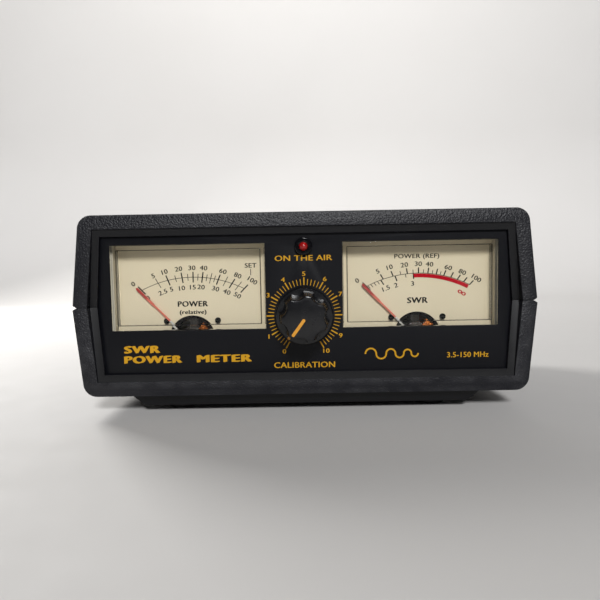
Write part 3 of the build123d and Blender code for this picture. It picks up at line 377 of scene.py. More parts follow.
finish(
    "housing_plastic", "pale tray resin", (0.60, 0.56, 0.46), (0.52, 0.48, 0.39),
    (0.35, 0.5), RESIN, drift=12 * MM,
)
print("moulded finishes:", len(finishes))

# %% [markdown]
# Only the outside of the case is stippled. The ledge round the panel is smooth and darker. It is
# the only moulded face that looks forward from behind the rim, so its depth and its direction
# give a mask, which darkens the colour and stops the bump.

# %% Smooth the ledge
LEDGE_COLOUR = (0.0016, 0.0017, 0.0026, 1.0)
RIM_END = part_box("upper_case")[0].y + 2.4 * MM
RIM_FADE = 0.1 * MM
FORWARD_SPAN = (0.7, 0.9)


def forward_mask(tree, start, stop):
    """One where a surface faces forward and lies behind a depth, else zero."""
    place = tree.nodes.new("ShaderNodeTexCoord")
    shape = tree.nodes.new("ShaderNodeNewGeometry")
    place_split = tree.nodes.new("ShaderNodeSeparateXYZ")
    normal_split = tree.nodes.new("ShaderNodeSeparateXYZ")
    tree.links.new(place.outputs["Object"], place_split.inputs["Vector"])
    tree.links.new(shape.outputs["True Normal"], normal_split.inputs["Vector"])
    behind = remap(tree, place_split.outputs["Y"], start, stop)
    forward = remap(tree, normal_split.outputs["Y"], -FORWARD_SPAN[0], -FORWARD_SPAN[1])
    return multiply(tree, behind, forward)


tree = finishes["case_plastic"].node_tree
shader = tree.nodes["Principled BSDF"]
mask = forward_mask(tree, RIM_END, RIM_END + RIM_FADE)
colour_link = shader.inputs["Base Color"].links[0]
tree.links.new(cover(tree, colour_link.from_socket, LEDGE_COLOUR, mask), shader.inputs["Base Color"])
stipple = shader.inputs["Normal"].links[0].from_node
height_link = stipple.inputs["Height"].links[0]
height = multiply(tree, height_link.from_socket, remap(tree, mask, 1.0, 0.0))
tree.links.new(height, stipple.inputs["Height"])
print("the ledge starts", round((RIM_END - PROW) / MM, 1), "mm behind the rim's front")

# %% [markdown]
# ## Paper, paint and print
# The dial plates have a cream paint that has yellowed a little, more in some places than in
# others. The needle is thin metal with a red paint. Inks are opaque and slightly uneven, as
# screen printing is.

# %% Paints and inks
DIAL_GRAIN = (0.12 * MM, 0.003 * MM)
NEEDLE_GRAIN = (0.2 * MM, 0.004 * MM)
POINTER_GRAIN = (0.1 * MM, 0.01 * MM)
PANEL_INK_GRAIN = (0.08 * MM, 0.004 * MM)
DIAL_INK_GRAIN = (0.06 * MM, 0.003 * MM)

finish(
    "dial_paint", "cream dial paint", (0.735, 0.645, 0.475), (0.70, 0.615, 0.45),
    (0.55, 0.7), DIAL_GRAIN, drift=30 * MM,
)
finish(
    "needle_paint", "red needle paint", (0.66, 0.16, 0.11), (0.58, 0.12, 0.085),
    (0.4, 0.55), NEEDLE_GRAIN, drift=5 * MM,
)
finish(
    "pointer_paint", "amber pointer paint", (0.80, 0.36, 0.03), (0.70, 0.30, 0.022),
    (0.45, 0.6), POINTER_GRAIN, drift=2 * MM,
)
panel_ink = finish(
    "panel_ink", "amber panel ink", (0.62, 0.32, 0.012), (0.54, 0.275, 0.009),
    (0.45, 0.62), PANEL_INK_GRAIN, drift=3 * MM, Specular_IOR_Level=0.2,
)
dial_ink = finish(
    "dial_ink", "black dial ink", (0.004, 0.0036, 0.003), (0.009, 0.008, 0.006),
    (0.5, 0.65), DIAL_INK_GRAIN, drift=1.5 * MM, Specular_IOR_Level=0.1,
)
band_ink = finish(
    "band_ink", "red dial ink", (0.50, 0.002, 0.014), (0.43, 0.002, 0.012),
    (0.5, 0.65), DIAL_INK_GRAIN, drift=3 * MM, Specular_IOR_Level=0.12,
)
print("inks:", [ink.name for ink in (panel_ink, dial_ink, band_ink)])

# %% [markdown]
# The outer end of each needle is coloured a darker red, which is painted shade, and its root is
# a pale grey. Both needles share one finish, so the distance from the pivot is measured with the
# sign of X left off, which puts the two pivots in the same place.

# %% Paint shade on the needles' tips
# Painted shade: a darker red laid over the outer end of each needle.
TIP_SHADE_COLOUR = (0.36, 0.03, 0.024, 1.0)
ROOT_COLOUR = (0.58, 0.57, 0.54, 1.0)
TIP_SHADE_START = 21.5 * MM
TIP_SHADE_FULL = 22.8 * MM
ROOT_START = 11.2 * MM
ROOT_FULL = 10.8 * MM

tree = finishes["needle_paint"].node_tree
shader = tree.nodes["Principled BSDF"]
place = tree.nodes.new("ShaderNodeTexCoord")
folded = tree.nodes.new("ShaderNodeVectorMath")
folded.operation = "ABSOLUTE"
offset = tree.nodes.new("ShaderNodeVectorMath")
offset.operation = "SUBTRACT"
offset.inputs[1].default_value = (PIVOTS["right"].x, 0, PIVOTS["right"].z)
flat = tree.nodes.new("ShaderNodeVectorMath")
flat.operation = "MULTIPLY"
flat.inputs[1].default_value = (1, 0, 1)
distance = tree.nodes.new("ShaderNodeVectorMath")
distance.operation = "LENGTH"
tree.links.new(place.outputs["Object"], folded.inputs[0])
tree.links.new(folded.outputs["Vector"], offset.inputs[0])
tree.links.new(offset.outputs["Vector"], flat.inputs[0])
tree.links.new(flat.outputs["Vector"], distance.inputs[0])
tip = remap(tree, distance.outputs["Value"], TIP_SHADE_START, TIP_SHADE_FULL)
root = remap(tree, distance.outputs["Value"], ROOT_START, ROOT_FULL)
colour_link = shader.inputs["Base Color"].links[0]
tip_shaded = cover(tree, colour_link.from_socket, TIP_SHADE_COLOUR, tip)
tree.links.new(cover(tree, tip_shaded, ROOT_COLOUR, root), shader.inputs["Base Color"])
print("the dark tip starts", round(TIP_SHADE_START / MM, 1), "mm from the pivot")

# %% [markdown]
# ## Metals
# Each metal is told apart by its colour and by the marks of how it was made: drawn wire and
# turned pins have fine lines along them, plated sheet is smoother, cast magnet alloy is rough,
# and iron has a dull, spotted surface.

# %% Metal finishes
ALONG_Y = (1.0, 0.06, 1.0)
ALONG_X = (0.06, 1.0, 1.0)
METAL_GRAIN = (0.15 * MM, 0.004 * MM)
METAL_CLOUDS = 5 * MM
metals = [
    ("bright_steel", "zinc-plated steel", (0.56, 0.56, 0.55), (0.46, 0.47, 0.48), (0.25, 0.42), None),
    ("dark_screw", "blackened steel", (0.008, 0.009, 0.008), (0.014, 0.015, 0.013), (0.3, 0.5), None),
    ("soft_iron", "soft iron", (0.06, 0.055, 0.052), (0.035, 0.033, 0.03), (0.4, 0.55), None),
    ("magnet_alloy", "cast magnet alloy", (0.018, 0.016, 0.016), (0.01, 0.009, 0.01), (0.4, 0.6), None),
    ("spring_bronze", "phosphor bronze", (0.62, 0.38, 0.2), (0.52, 0.3, 0.16), (0.2, 0.35), ALONG_Y),
    ("brass_plated", "nickel-plated brass", (0.68, 0.66, 0.61), (0.6, 0.57, 0.5), (0.2, 0.38), ALONG_X),
    ("winding_copper", "enamelled copper", (0.74, 0.24, 0.06), (0.6, 0.17, 0.04), (0.22, 0.4), ALONG_X),
    ("shaft_aluminium", "turned aluminium", (0.7, 0.7, 0.69), (0.6, 0.6, 0.6), (0.25, 0.42), ALONG_Y),
    ("pot_can", "tinned can", (0.55, 0.54, 0.5), (0.45, 0.44, 0.4), (0.35, 0.5), None),
    ("socket_nickel", "nickel plate", (0.66, 0.64, 0.59), (0.56, 0.54, 0.49), (0.18, 0.36), None),
    ("contact_silver", "silver plate", (0.72, 0.69, 0.62), (0.55, 0.5, 0.42), (0.2, 0.36), ALONG_Y),
    ("tinned_copper", "tinned copper", (0.62, 0.61, 0.58), (0.52, 0.5, 0.46), (0.25, 0.45), None),
    ("tinplate", "folded tinplate", (0.6, 0.6, 0.58), (0.5, 0.5, 0.47), (0.28, 0.45), ALONG_X),
]
for slot, title, colour, second, roughness, lay in metals:
    finish(
        slot, title, colour, second, roughness, METAL_GRAIN, drift=METAL_CLOUDS, stretch=lay,
        Metallic=1.0,
    )
print("metals:", len(metals))

# %% [markdown]
# ## Electrical parts
# Boards, resins, beads of paint and cable sheaths are insulators. Their colours are those of the
# usual parts, and each has a fine grain, so that no surface is quite even.

# %% Insulator finishes
INSULATOR_GRAIN = (0.2 * MM, 0.005 * MM)
INSULATOR_CLOUDS = 6 * MM
insulators = [
    ("phenolic", "brown phenolic", (0.17, 0.075, 0.03), (0.12, 0.05, 0.022), (0.35, 0.5)),
    ("socket_resin", "cream socket resin", (0.6, 0.55, 0.44), (0.5, 0.45, 0.35), (0.3, 0.45)),
    ("board_laminate", "board laminate", (0.34, 0.23, 0.1), (0.27, 0.18, 0.075), (0.35, 0.55)),
    ("resistor_paint", "resistor body paint", (0.45, 0.28, 0.13), (0.36, 0.22, 0.1), (0.3, 0.45)),
    ("capacitor_ceramic", "dipped ceramic", (0.5, 0.24, 0.06), (0.42, 0.19, 0.045), (0.35, 0.5)),
    ("diode_glass", "diode glass", (0.5, 0.2, 0.08), (0.4, 0.14, 0.05), (0.08, 0.16)),
    ("wire_red", "red wire sheath", (0.42, 0.018, 0.014), (0.34, 0.014, 0.012), (0.35, 0.5)),
    ("wire_white", "white wire sheath", (0.62, 0.6, 0.55), (0.54, 0.52, 0.47), (0.35, 0.5)),
]
for slot, title, colour, second, roughness in insulators:
    finish(slot, title, colour, second, roughness, INSULATOR_GRAIN, drift=INSULATOR_CLOUDS)
print("insulators:", len(insulators))

# %% [markdown]
# ## Clear cover and lamp
# The covers are moulded in clear acrylic, so light bends and reflects inside their walls. A ray
# that only carries shadow would make them dark, and a ray that gathers soft light would count the
# lights twice, so both kinds pass through a Transparent shader instead. A cover's walls turn much
# of the light aside, so they dim it more than the front does. A dark specular tint keeps the
# mirror image of the pale table weak, or it would veil the print on the dials. The lamp is red
# epoxy, which lets some light in and keeps a wet gloss.

# %% Clear finishes
ACRYLIC_IOR = 1.49
EPOXY_IOR = 1.52
PANE_TINT = (0.98, 0.98, 0.965, 1.0)
WALL_TINT = (0.72, 0.71, 0.67, 1.0)
WEAK_MIRROR = (0.3, 0.3, 0.3, 1.0)
PANE_RIPPLE = (3 * MM, 0.0002 * MM)
LAMP_RIPPLE = (1 * MM, 0.002 * MM)

acrylic = finish(
    "clear_acrylic", "clear acrylic", (0.985, 0.985, 0.965), (0.975, 0.972, 0.945), (0.004, 0.03),
    PANE_RIPPLE, IOR=ACRYLIC_IOR, Transmission_Weight=1.0, Specular_Tint=WEAK_MIRROR,
)
tree = acrylic.node_tree
glass_output = tree.nodes["Material Output"]
light_path = tree.nodes.new("ShaderNodeLightPath")
clear = tree.nodes.new("ShaderNodeBsdfTransparent")
facing = tree.nodes.new("ShaderNodeNewGeometry")
sides = tree.nodes.new("ShaderNodeSeparateXYZ")
front = tree.nodes.new("ShaderNodeMath")
front.operation = "ABSOLUTE"
share, wall, pane, dimmed = colour_mix(tree)
wall.default_value = WALL_TINT
pane.default_value = PANE_TINT
tree.links.new(facing.outputs["Normal"], sides.inputs["Vector"])
tree.links.new(sides.outputs["Y"], front.inputs[0])
tree.links.new(front.outputs["Value"], share)
tree.links.new(dimmed, clear.inputs["Color"])
choose = tree.nodes.new("ShaderNodeMixShader")
passing = tree.nodes.new("ShaderNodeMath")
passing.operation = "MAXIMUM"
tree.links.new(light_path.outputs["Is Shadow Ray"], passing.inputs[0])
tree.links.new(light_path.outputs["Is Diffuse Ray"], passing.inputs[1])
tree.links.new(passing.outputs["Value"], choose.inputs[0])
tree.links.new(tree.nodes["Principled BSDF"].outputs[0], choose.inputs[1])
tree.links.new(clear.outputs[0], choose.inputs[2])
tree.links.new(choose.outputs[0], glass_output.inputs["Surface"])

finish(
    "red_epoxy", "red lamp epoxy", (0.62, 0.012, 0.01), (0.5, 0.008, 0.008), (0.06, 0.12),
    LAMP_RIPPLE, drift=2 * MM, IOR=EPOXY_IOR, Transmission_Weight=0.45, Coat_Weight=0.3,
)
print("finishes:", len(finishes))

# %% [markdown]
# ## Give each part its finish
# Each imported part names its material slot, so the finishes are handed out by that name. The
# parts' own meshes stay as they are.

# %% Hand out the finishes
for node in frame["nodes"].values():
    for holder in node.material_slots:
        holder.material = finishes[holder.material.name]

# %% [markdown]
# ## Rounded edges
# A mould or a press leaves no edge perfectly sharp, and it is on the small rounds that light
# catches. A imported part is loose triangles, so a copy of it is merged, its flat faces are joined
# again, and a Bevel modifier rounds its edges before the copy takes the part's place.

# %% The rounding tool
MERGE = 0.001 * MM
FLAT = math.radians(0.5)
EDGE_ANGLE = math.radians(32)
SMOOTH_ANGLE = math.radians(35)
ROUND_SEGMENTS = 3


def deselect():
    """Leaves nothing selected."""
    bpy.ops.object.select_all(action="DESELECT")


def pick(piece):
    """Selects one piece alone and makes it the active one."""
    deselect()
    piece.select_set(True)
    bpy.context.view_layer.objects.active = piece


def rounded(node, edge):
    """Shows a copy of a CAD node, with its edges rounded, in the node's place."""
    part = frame["nodes"][node]
    piece = bpy.data.objects.new(f"{node}_finished", part.data.copy())
    scene.collection.objects.link(piece)
    pick(piece)
    bpy.ops.mesh.customdata_custom_splitnormals_clear()
    bpy.ops.object.mode_set(mode="EDIT")
    bpy.ops.mesh.select_all(action="SELECT")
    bpy.ops.mesh.remove_doubles(threshold=MERGE)
    bpy.ops.mesh.dissolve_limited(angle_limit=FLAT)
    bpy.ops.object.mode_set(mode="OBJECT")
    rounding = piece.modifiers.new("rounding", "BEVEL")
    rounding.width = edge
    rounding.segments = ROUND_SEGMENTS
    rounding.limit_method = "ANGLE"
    rounding.angle_limit = EDGE_ANGLE
    bpy.ops.object.modifier_apply(modifier="rounding")
    bpy.ops.object.shade_smooth_by_angle(angle=SMOOTH_ANGLE)
    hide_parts(node)
    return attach(piece, part["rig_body"])


print("helpers: deselect, pick, rounded")

# %% [markdown]
# The knob's lobes have the largest rounds. Those of the case, the covers, the lamp's clip and the
# feet are nearly as large, because all of them are moulded. The two panels are pressed sheet with
# a tight edge, so theirs are half as large, but without them no light would catch there.

# %% Round the moulded and pressed parts
rounds = {
    "upper_case": 0.3 * MM,
    "lower_case": 0.3 * MM,
    "front_panel": 0.15 * MM,
    "rear_panel": 0.15 * MM,
    "calibration_knob": 0.35 * MM,
    "left_meter_cover": 0.28 * MM,
    "right_meter_cover": 0.28 * MM,
    "led_clip": 0.3 * MM,
    "rubber_feet": 0.3 * MM,
}
for node, edge in rounds.items():
    piece = rounded(node, edge)
    print(piece.name, "faces:", len(piece.data.polygons))

# %% [markdown]
# ## A printed stroke
# Scale marks are all one stroke at different lengths and angles. It is modelled once, as a plane
# that faces forward and is extruded by the thickness of the ink. Each mark is then a copy with its
# own mesh, turned about the pivot of its scale. The ink's back lies inside the plate, so no two
# faces share a plane.

# %% Model the stroke
INK = 0.03 * MM
INK_PROUD = 0.02 * MM
UPRIGHT = math.pi / 2


def new_stroke():
    """A stroke one metre wide and tall, facing forward, as thick as the ink."""
    deselect()
    bpy.ops.mesh.primitive_plane_add(size=1, rotation=(UPRIGHT, 0, 0))
    bpy.ops.object.transform_apply()
    bpy.ops.object.mode_set(mode="EDIT")
    bpy.ops.mesh.select_all(action="SELECT")
    bpy.ops.mesh.extrude_region_move(TRANSFORM_OT_translate={"value": (0, INK, 0)})
    bpy.ops.mesh.select_all(action="SELECT")
    bpy.ops.mesh.normals_make_consistent(inside=False)
    bpy.ops.object.mode_set(mode="OBJECT")
    return bpy.context.object


stroke = new_stroke()
print("stroke faces:", len(stroke.data.polygons))


def mark(middle, face_y, angle, inner, outer, width):
    """A copy of the stroke between two radii, turned clockwise about a middle."""
    copy = stroke.copy()
    copy.data = stroke.data.copy()
    scene.collection.objects.link(copy)
    copy.data.transform(
        Matrix.Translation((middle[0], face_y - INK_PROUD, middle[1]))
        @ Matrix.Rotation(angle, 4, "Y")
        @ Matrix.Translation((0, 0, (inner + outer) / 2))
        @ Matrix.Diagonal((width, 1, outer - inner, 1))
    )
    return copy


# %% [markdown]
# An arc is a stroke whose end is spun about the scale's centre. Spinning keeps the band's width
# and thickness, and makes the solid in one step.

# %% Spin an arc
ARC_STEP = math.radians(2.5)
STUB = math.radians(0.2)
FACES_AHEAD = 0.9


def arc(middle, face_y, radius, width, start, end):
    """A band round a middle, from a start angle clockwise to an end angle."""
    band = mark(middle, face_y, start, radius - width / 2, radius + width / 2, radius * STUB)
    ahead = Vector((math.cos(start), 0, -math.sin(start)))
    pick(band)
    bpy.ops.object.mode_set(mode="EDIT")
    bpy.ops.mesh.select_mode(type="FACE")
    bpy.ops.mesh.select_all(action="DESELECT")
    bpy.ops.object.mode_set(mode="OBJECT")
    for face in band.data.polygons:
        face.select = face.normal.dot(ahead) > FACES_AHEAD
    bpy.ops.object.mode_set(mode="EDIT")
    bpy.ops.mesh.spin(
        steps=max(2, round((end - start) / ARC_STEP)),
        angle=start - end,
        center=(middle[0], face_y, middle[1]),
        axis=(0, 1, 0),
    )
    bpy.ops.mesh.select_all(action="SELECT")
    bpy.ops.mesh.normals_make_consistent(inside=False)
    bpy.ops.object.mode_set(mode="OBJECT")
    return band


print("an arc turns", round(math.degrees(ARC_STEP), 1), "degrees a step")

# %% [markdown]
# Words and figures are text objects in the built-in face, extruded by the ink's thickness and
# then made a mesh. A capital H is measured first, so that a height can be asked for directly. A
# width can be asked for as well, which stretches a word as wide lettering is. Bold letters are
# struck more than once, a little apart, as on an old printing machine. Each strike is a hair in
# front of the last, so that no two of their faces share a plane.

# %% Print words
TEXT_RESOLUTION = 3
STRIKE_SHIFT = 0.045
STRIKE_RISE = 0.014
STRIKE_STEP = 0.002 * MM


def text_mesh(text, strikes=1, drop=0.0):
    """A text object of size one, made a mesh, facing forward and struck this many times."""
    deselect()
    bpy.ops.object.text_add(rotation=(UPRIGHT, 0, 0))
    label = bpy.context.object
    label.data.body = text
    label.data.align_x = "CENTER"
    label.data.resolution_u = TEXT_RESOLUTION
    label.data.space_character = 1 + STRIKE_SHIFT * (strikes - 1)
    label.data.offset_y = -drop
    label.data.extrude = INK / 2
    bpy.ops.object.convert(target="MESH")
    bpy.ops.object.transform_apply()
    bpy.ops.object.mode_set(mode="EDIT")
    bpy.ops.mesh.select_all(action="SELECT")
    move = {"value": (STRIKE_SHIFT, -STRIKE_STEP, STRIKE_RISE)}
    for _ in range(strikes - 1):
        bpy.ops.mesh.duplicate_move(TRANSFORM_OT_translate=move)
    bpy.ops.mesh.select_all(action="SELECT")
    bpy.ops.transform.translate(value=(-STRIKE_SHIFT * (strikes - 1) / 2, 0, 0))
    bpy.ops.object.mode_set(mode="OBJECT")
    return bpy.context.object


sample = text_mesh("H")
CAP = sample.dimensions.z
bpy.data.objects.remove(sample)
print("capital height at size one:", round(CAP, 3))

# %% [markdown]
# A word is scaled to its height and width, turned, and moved to its face. All the print of one
# ink on one plate is then joined into one named piece, which rides on the case as the plates do.

# %% Place words and join the print


def words(text, x, z, face_y, height, width=None, turn=0.0, strikes=1, stretch=1.0, behind=False):
    """Words centred on x and z, with capitals of this height, on a face."""
    label = text_mesh(text, strikes, CAP / 2)
    tall = height / CAP
    wide = width / label.dimensions.x if width else tall * stretch
    out = 1 if behind else -1
    place = Matrix.Translation((x, face_y + out * (INK_PROUD - INK / 2), z))
    if behind:
        place = place @ Matrix.Rotation(math.pi, 4, "Z")
    label.data.transform(
        place @ Matrix.Rotation(turn, 4, "Y") @ Matrix.Diagonal((wide, 1, tall, 1))
    )
    return label


def printed(name, pieces, ink, body="case"):
    """Joins printed pieces into one named piece with one ink."""
    deselect()
    for piece in pieces:
        piece.select_set(True)
    bpy.context.view_layer.objects.active = pieces[0]
    bpy.ops.object.join()
    sheet = bpy.context.object
    sheet.name = name
    sheet.data.materials.clear()
    sheet.data.materials.append(ink)
    print(name, "faces:", len(sheet.data.polygons))
    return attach(sheet, body)


print("helpers: words, printed")

# %% [markdown]
# ## The law of the dials
# A needle's angle isn't in proportion to power, because a diode detector follows the square law
# when signals are small and the voltage when they are large. The square root of the power, eased
# near zero, gives the crowding that such dials have. The standing wave ratio S moves the needle
# by the reflected share, (S - 1) / (S + 1).

# %% From a reading to an angle
ZERO = math.radians(-44)
SWEEP = math.radians(88)
EASE = 0.1


def eased(share):
    """The part of the sweep that this share of full voltage moves the needle."""
    low = math.hypot(share, EASE) - EASE
    return low / (math.hypot(1, EASE) - EASE)


def power_angle(percent):
    """The needle's angle for a power in percent."""
    return ZERO + SWEEP * eased(math.sqrt(percent / 100))


def ratio_angle(ratio):
    """The needle's angle for a standing wave ratio."""
    return ZERO + SWEEP * eased((ratio - 1) / (ratio + 1))


print("50 percent is at", round(math.degrees(power_angle(50)), 1), "degrees")
print("a ratio of 3 is at", round(math.degrees(ratio_angle(3)), 1), "degrees")

# %% [markdown]
# The printed arc is flatter than the needle's own circle, so that it fills the wide dial. Its
# centre is below the pivot, and each mark points at the pivot, because that is where the needle
# points from.

# %% The arc of the scales
ARC_RADIUS = 39.6 * MM
ARC_DROP = 16.3 * MM
ARC_LINE = 0.2 * MM
MAJOR_WIDTH = 0.42 * MM
MINOR_WIDTH = 0.24 * MM
FINE_STRIKES = 2
TITLE_STRIKES = 3
DIAL_STRETCH = 1.12
FIGURE_DROP = 10.0


def reach(angle, radius=ARC_RADIUS):
    """The distance from the pivot to the arc, at a needle's angle."""
    side = ARC_DROP * math.sin(angle)
    return math.sqrt(radius**2 - side**2) - ARC_DROP * math.cos(angle)


def arc_angle(angle, radius=ARC_RADIUS):
    """The same point's angle as seen from the arc's own centre."""
    distance = reach(angle, radius)
    return math.atan2(distance * math.sin(angle), distance * math.cos(angle) + ARC_DROP)


def scale_arc(pivot, width, start, end, radius=ARC_RADIUS):
    """The arc between two of the needle's angles."""
    middle = (pivot.x, pivot.z - ARC_DROP)
    return arc(middle, DIAL_FACE, radius, width, arc_angle(start, radius), arc_angle(end, radius))


def scale_mark(pivot, angle, below, above, width):
    """One mark across the arc."""
    inner = reach(angle) - below
    outer = reach(angle) + above
    return mark((pivot.x, pivot.z), DIAL_FACE, angle, inner, outer, width)


def dial_words(pivot, text, x, z, height, width=None, upright=False, strikes=FINE_STRIKES):
    """Words on a dial, placed from the pivot in millimetres; figures follow the arc."""
    turn = 0.0 if upright else math.atan2(x, z + FIGURE_DROP)
    return words(text, pivot.x + x * MM, pivot.z + z * MM, DIAL_FACE, height * MM,
                 width * MM if width else None, turn, strikes, DIAL_STRETCH)


print("the arc at zero is", round(reach(ZERO) / MM, 1), "mm from the pivot")

# %% [markdown]
# ## The left dial
# It reads forward power twice over: 0 to 100 above the arc and 0 to 50 below it. Long marks carry
# figures and short ones lie between. A line at the right end is where the meter is set to full
# scale before the ratio is read. Both plates were printed half a millimetre off their pivots.

# %% Print the left dial
FIGURE = 1.6
PRINT_SHIFT = Vector((0.5 * MM, 0, 0))
LONG_HALF = 1.9 * MM
SHORT_HALF = 1.2 * MM
SET_X = 20.6
SET_Z = 27.1
SET_LINE = (23.6 * MM, 25.9 * MM)

pivot = PIVOTS["left"] + PRINT_SHIFT
long_readings = [0, 5, 10, 20, 30, 40, 50, 60, 70, 80, 90, 100]
thin_readings = [5, 50, 70, 90]
short_readings = [15, 25, 35, 45, 55]
left_print = [scale_arc(pivot, ARC_LINE, power_angle(0), power_angle(100))]
for reading in long_readings:
    width = MINOR_WIDTH if reading in thin_readings else MAJOR_WIDTH
    left_print.append(scale_mark(pivot, power_angle(reading), LONG_HALF, LONG_HALF, width))
for reading in short_readings:
    left_print.append(scale_mark(pivot, power_angle(reading), SHORT_HALF, SHORT_HALF, MINOR_WIDTH))
left_figures = [
    ("0", -21.2, 21.2), ("5", -14.0, 24.0), ("10", -10.1, 25.3), ("20", -4.9, 26.3), ("30", -0.2, 26.6),
    ("40", 4.0, 26.5), ("60", 10.8, 25.2), ("80", 16.0, 23.6), ("100", 21.0, 21.8),
    ("0", -16.1, 16.1), ("2.5", -10.7, 18.1), ("5", -7.6, 19.1), ("10", -4.1, 19.4), ("15", -0.2, 19.7),
    ("20", 2.9, 19.7), ("30", 8.0, 19.0), ("40", 12.0, 17.8), ("50", 15.7, 16.5),
]
for text, x, z in left_figures:
    left_print.append(dial_words(pivot, text, x, z, FIGURE))
left_print.append(dial_words(pivot, "SET", SET_X, SET_Z, FIGURE, upright=True))
left_print.append(mark((pivot.x + SET_X * MM, pivot.z), DIAL_FACE, 0, *SET_LINE, MINOR_WIDTH))
left_print.append(dial_words(pivot, "POWER", -0.3, 13.7, 1.9, 10.8, True, TITLE_STRIKES))
left_print.append(dial_words(pivot, "(relative)", -0.2, 10.8, 1.4, 9.6, True, TITLE_STRIKES))
printed("left_dial_print", left_print, dial_ink)

# %% [markdown]
# ## The right dial
# It reads reflected power above the arc and the standing wave ratio below it. A red band under
# the arc runs from a ratio of 3 to infinity, which is a warning to look at the aerial.

# %% Print the right dial
BAND_RADIUS = ARC_RADIUS - 0.85 * MM
BAND_WIDTH = 1.35 * MM
LONG_MARK = 2.0 * MM
SHORT_MARK = 1.3 * MM
FULL = ZERO + SWEEP

pivot = PIVOTS["right"] + PRINT_SHIFT
long_ratios = [1, 1.5, 2, 3]
short_ratios = [1.1, 1.2, 1.3, 1.4, 2.5]
right_print = [scale_arc(pivot, ARC_LINE, ZERO, FULL)]
for reading in long_readings:
    right_print.append(scale_mark(pivot, power_angle(reading), 0, LONG_MARK, MAJOR_WIDTH))
for reading in short_readings:
    right_print.append(scale_mark(pivot, power_angle(reading), 0, SHORT_MARK, MINOR_WIDTH))
for ratio in long_ratios:
    right_print.append(scale_mark(pivot, ratio_angle(ratio), LONG_MARK, 0, MAJOR_WIDTH))
for ratio in short_ratios:
    right_print.append(scale_mark(pivot, ratio_angle(ratio), SHORT_MARK, 0, MINOR_WIDTH))
right_figures = [
    ("0", -21.5, 21.0), ("5", -14.2, 24.2), ("10", -10.2, 25.5), ("20", -4.8, 26.3), ("30", 0.1, 26.6),
    ("40", 4.1, 26.4), ("60", 10.7, 25.1), ("80", 15.7, 23.4), ("100", 20.5, 21.2),
    ("1.5", -11.5, 18.0), ("2", -7.8, 19.1), ("3", -1.9, 19.6),
]
for text, x, z in right_figures:
    right_print.append(dial_words(pivot, text, x, z, FIGURE))
right_print.append(dial_words(pivot, "POWER (REF)", -0.4, 29.4, 1.5, 15.9, upright=True))
right_print.append(dial_words(pivot, "SWR", -0.3, 13.6, 2.0, 7.4, True, TITLE_STRIKES))
printed("right_dial_print", right_print, dial_ink)
band = scale_arc(pivot, BAND_WIDTH, ratio_angle(3), FULL, BAND_RADIUS)
infinity = dial_words(pivot, "\u221e", 15.5, 16.1, 2.2)
printed("right_dial_band", [band, infinity], band_ink)

# %% [markdown]
# ## The knob's scale
# Fifty-one marks, six degrees apart, run round the knob from 0 at the lower left to 10 at the
# lower right. Every fifth is longer and thicker. The figures 2 and 8 are left off, as the covers
# come close there.

# %% Print the knob's scale
SCALE_STEP = math.radians(6)
SCALE_START = math.radians(-150)
SCALE_MARKS = 51
MARKS_PER_FIGURE = 5
SCALE_INNER = 10.35 * MM
LONG_OUTER = 12.95 * MM
SHORT_OUTER = 12.4 * MM
FIGURE_RADIUS = 14.15 * MM
FIGURE_HEIGHT = 1.45 * MM
FIGURE_STRETCH = 1.25

panel_print = []
for index in range(SCALE_MARKS):
    angle = SCALE_START + index * SCALE_STEP
    major = index % MARKS_PER_FIGURE == 0
    outer = LONG_OUTER if major else SHORT_OUTER
    width = MAJOR_WIDTH if major else MINOR_WIDTH
    panel_print.append(mark((KNOB.x, KNOB.z), PANEL_FACE, angle, SCALE_INNER, outer, width))
for figure in (0, 1, 3, 4, 5, 6, 7, 9, 10):
    angle = SCALE_START + figure * MARKS_PER_FIGURE * SCALE_STEP
    x = KNOB.x + FIGURE_RADIUS * math.sin(angle)
    z = KNOB.z + FIGURE_RADIUS * math.cos(angle)
    panel_print.append(
        words(str(figure), x, z, PANEL_FACE, FIGURE_HEIGHT, strikes=FINE_STRIKES, stretch=FIGURE_STRETCH)
    )
print("marks and figures round the knob:", len(panel_print))

# %% [markdown]
# ## The panel's lettering
# Plain words name the lamp, the knob and the instrument. The instrument's name is in wide, bold
# letters. At the right is a plain wave sign, made of half rings that grow smaller, and the range
# of frequencies.

# %% Print the panel
BOLD = 2
WIDE_BOLD = 4
panel_words = [
    ("ON THE AIR", -0.1, 15.5, 1.8, 19.5, BOLD),
    ("CALIBRATION", -0.2, -21.0, 1.9, 20.9, BOLD),
    ("SWR", -55.9, -14.85, 2.4, 12.5, WIDE_BOLD),
    ("POWER", -52.3, -18.35, 2.4, 20.0, WIDE_BOLD),
    ("METER", -27.9, -18.35, 2.4, 19.0, WIDE_BOLD),
    ("3.5-150 MHz", 55.5, -18.4, 1.75, 14.2, BOLD),
]
for text, x, z, height, width, strikes in panel_words:
    panel_print.append(
        words(text, x * MM, SEAM + z * MM, PANEL_FACE, height * MM, width * MM, strikes=strikes)
    )
WAVE_LINE = 0.55 * MM
WAVE_Z = SEAM - 17.6 * MM
WAVE_START = 20.6 * MM
WAVE_HALVES = 6
WAVE_RADIUS = 1.85
WAVE_SHRINK = 0.14

wave_x = WAVE_START
for index in range(WAVE_HALVES):
    radius = (WAVE_RADIUS - WAVE_SHRINK * index) * MM
    wave_x += radius
    start = -UPRIGHT if index % 2 == 0 else UPRIGHT
    panel_print.append(arc((wave_x, WAVE_Z), PANEL_FACE, radius, WAVE_LINE, start, start + math.pi))
    wave_x += radius
printed("panel_print", panel_print, panel_ink)

# %% [markdown]
# ## The rear panel's lettering
# Two words tell which socket takes the transmitter's cable and which the aerial's. They face
# backwards, so they are turned half round.

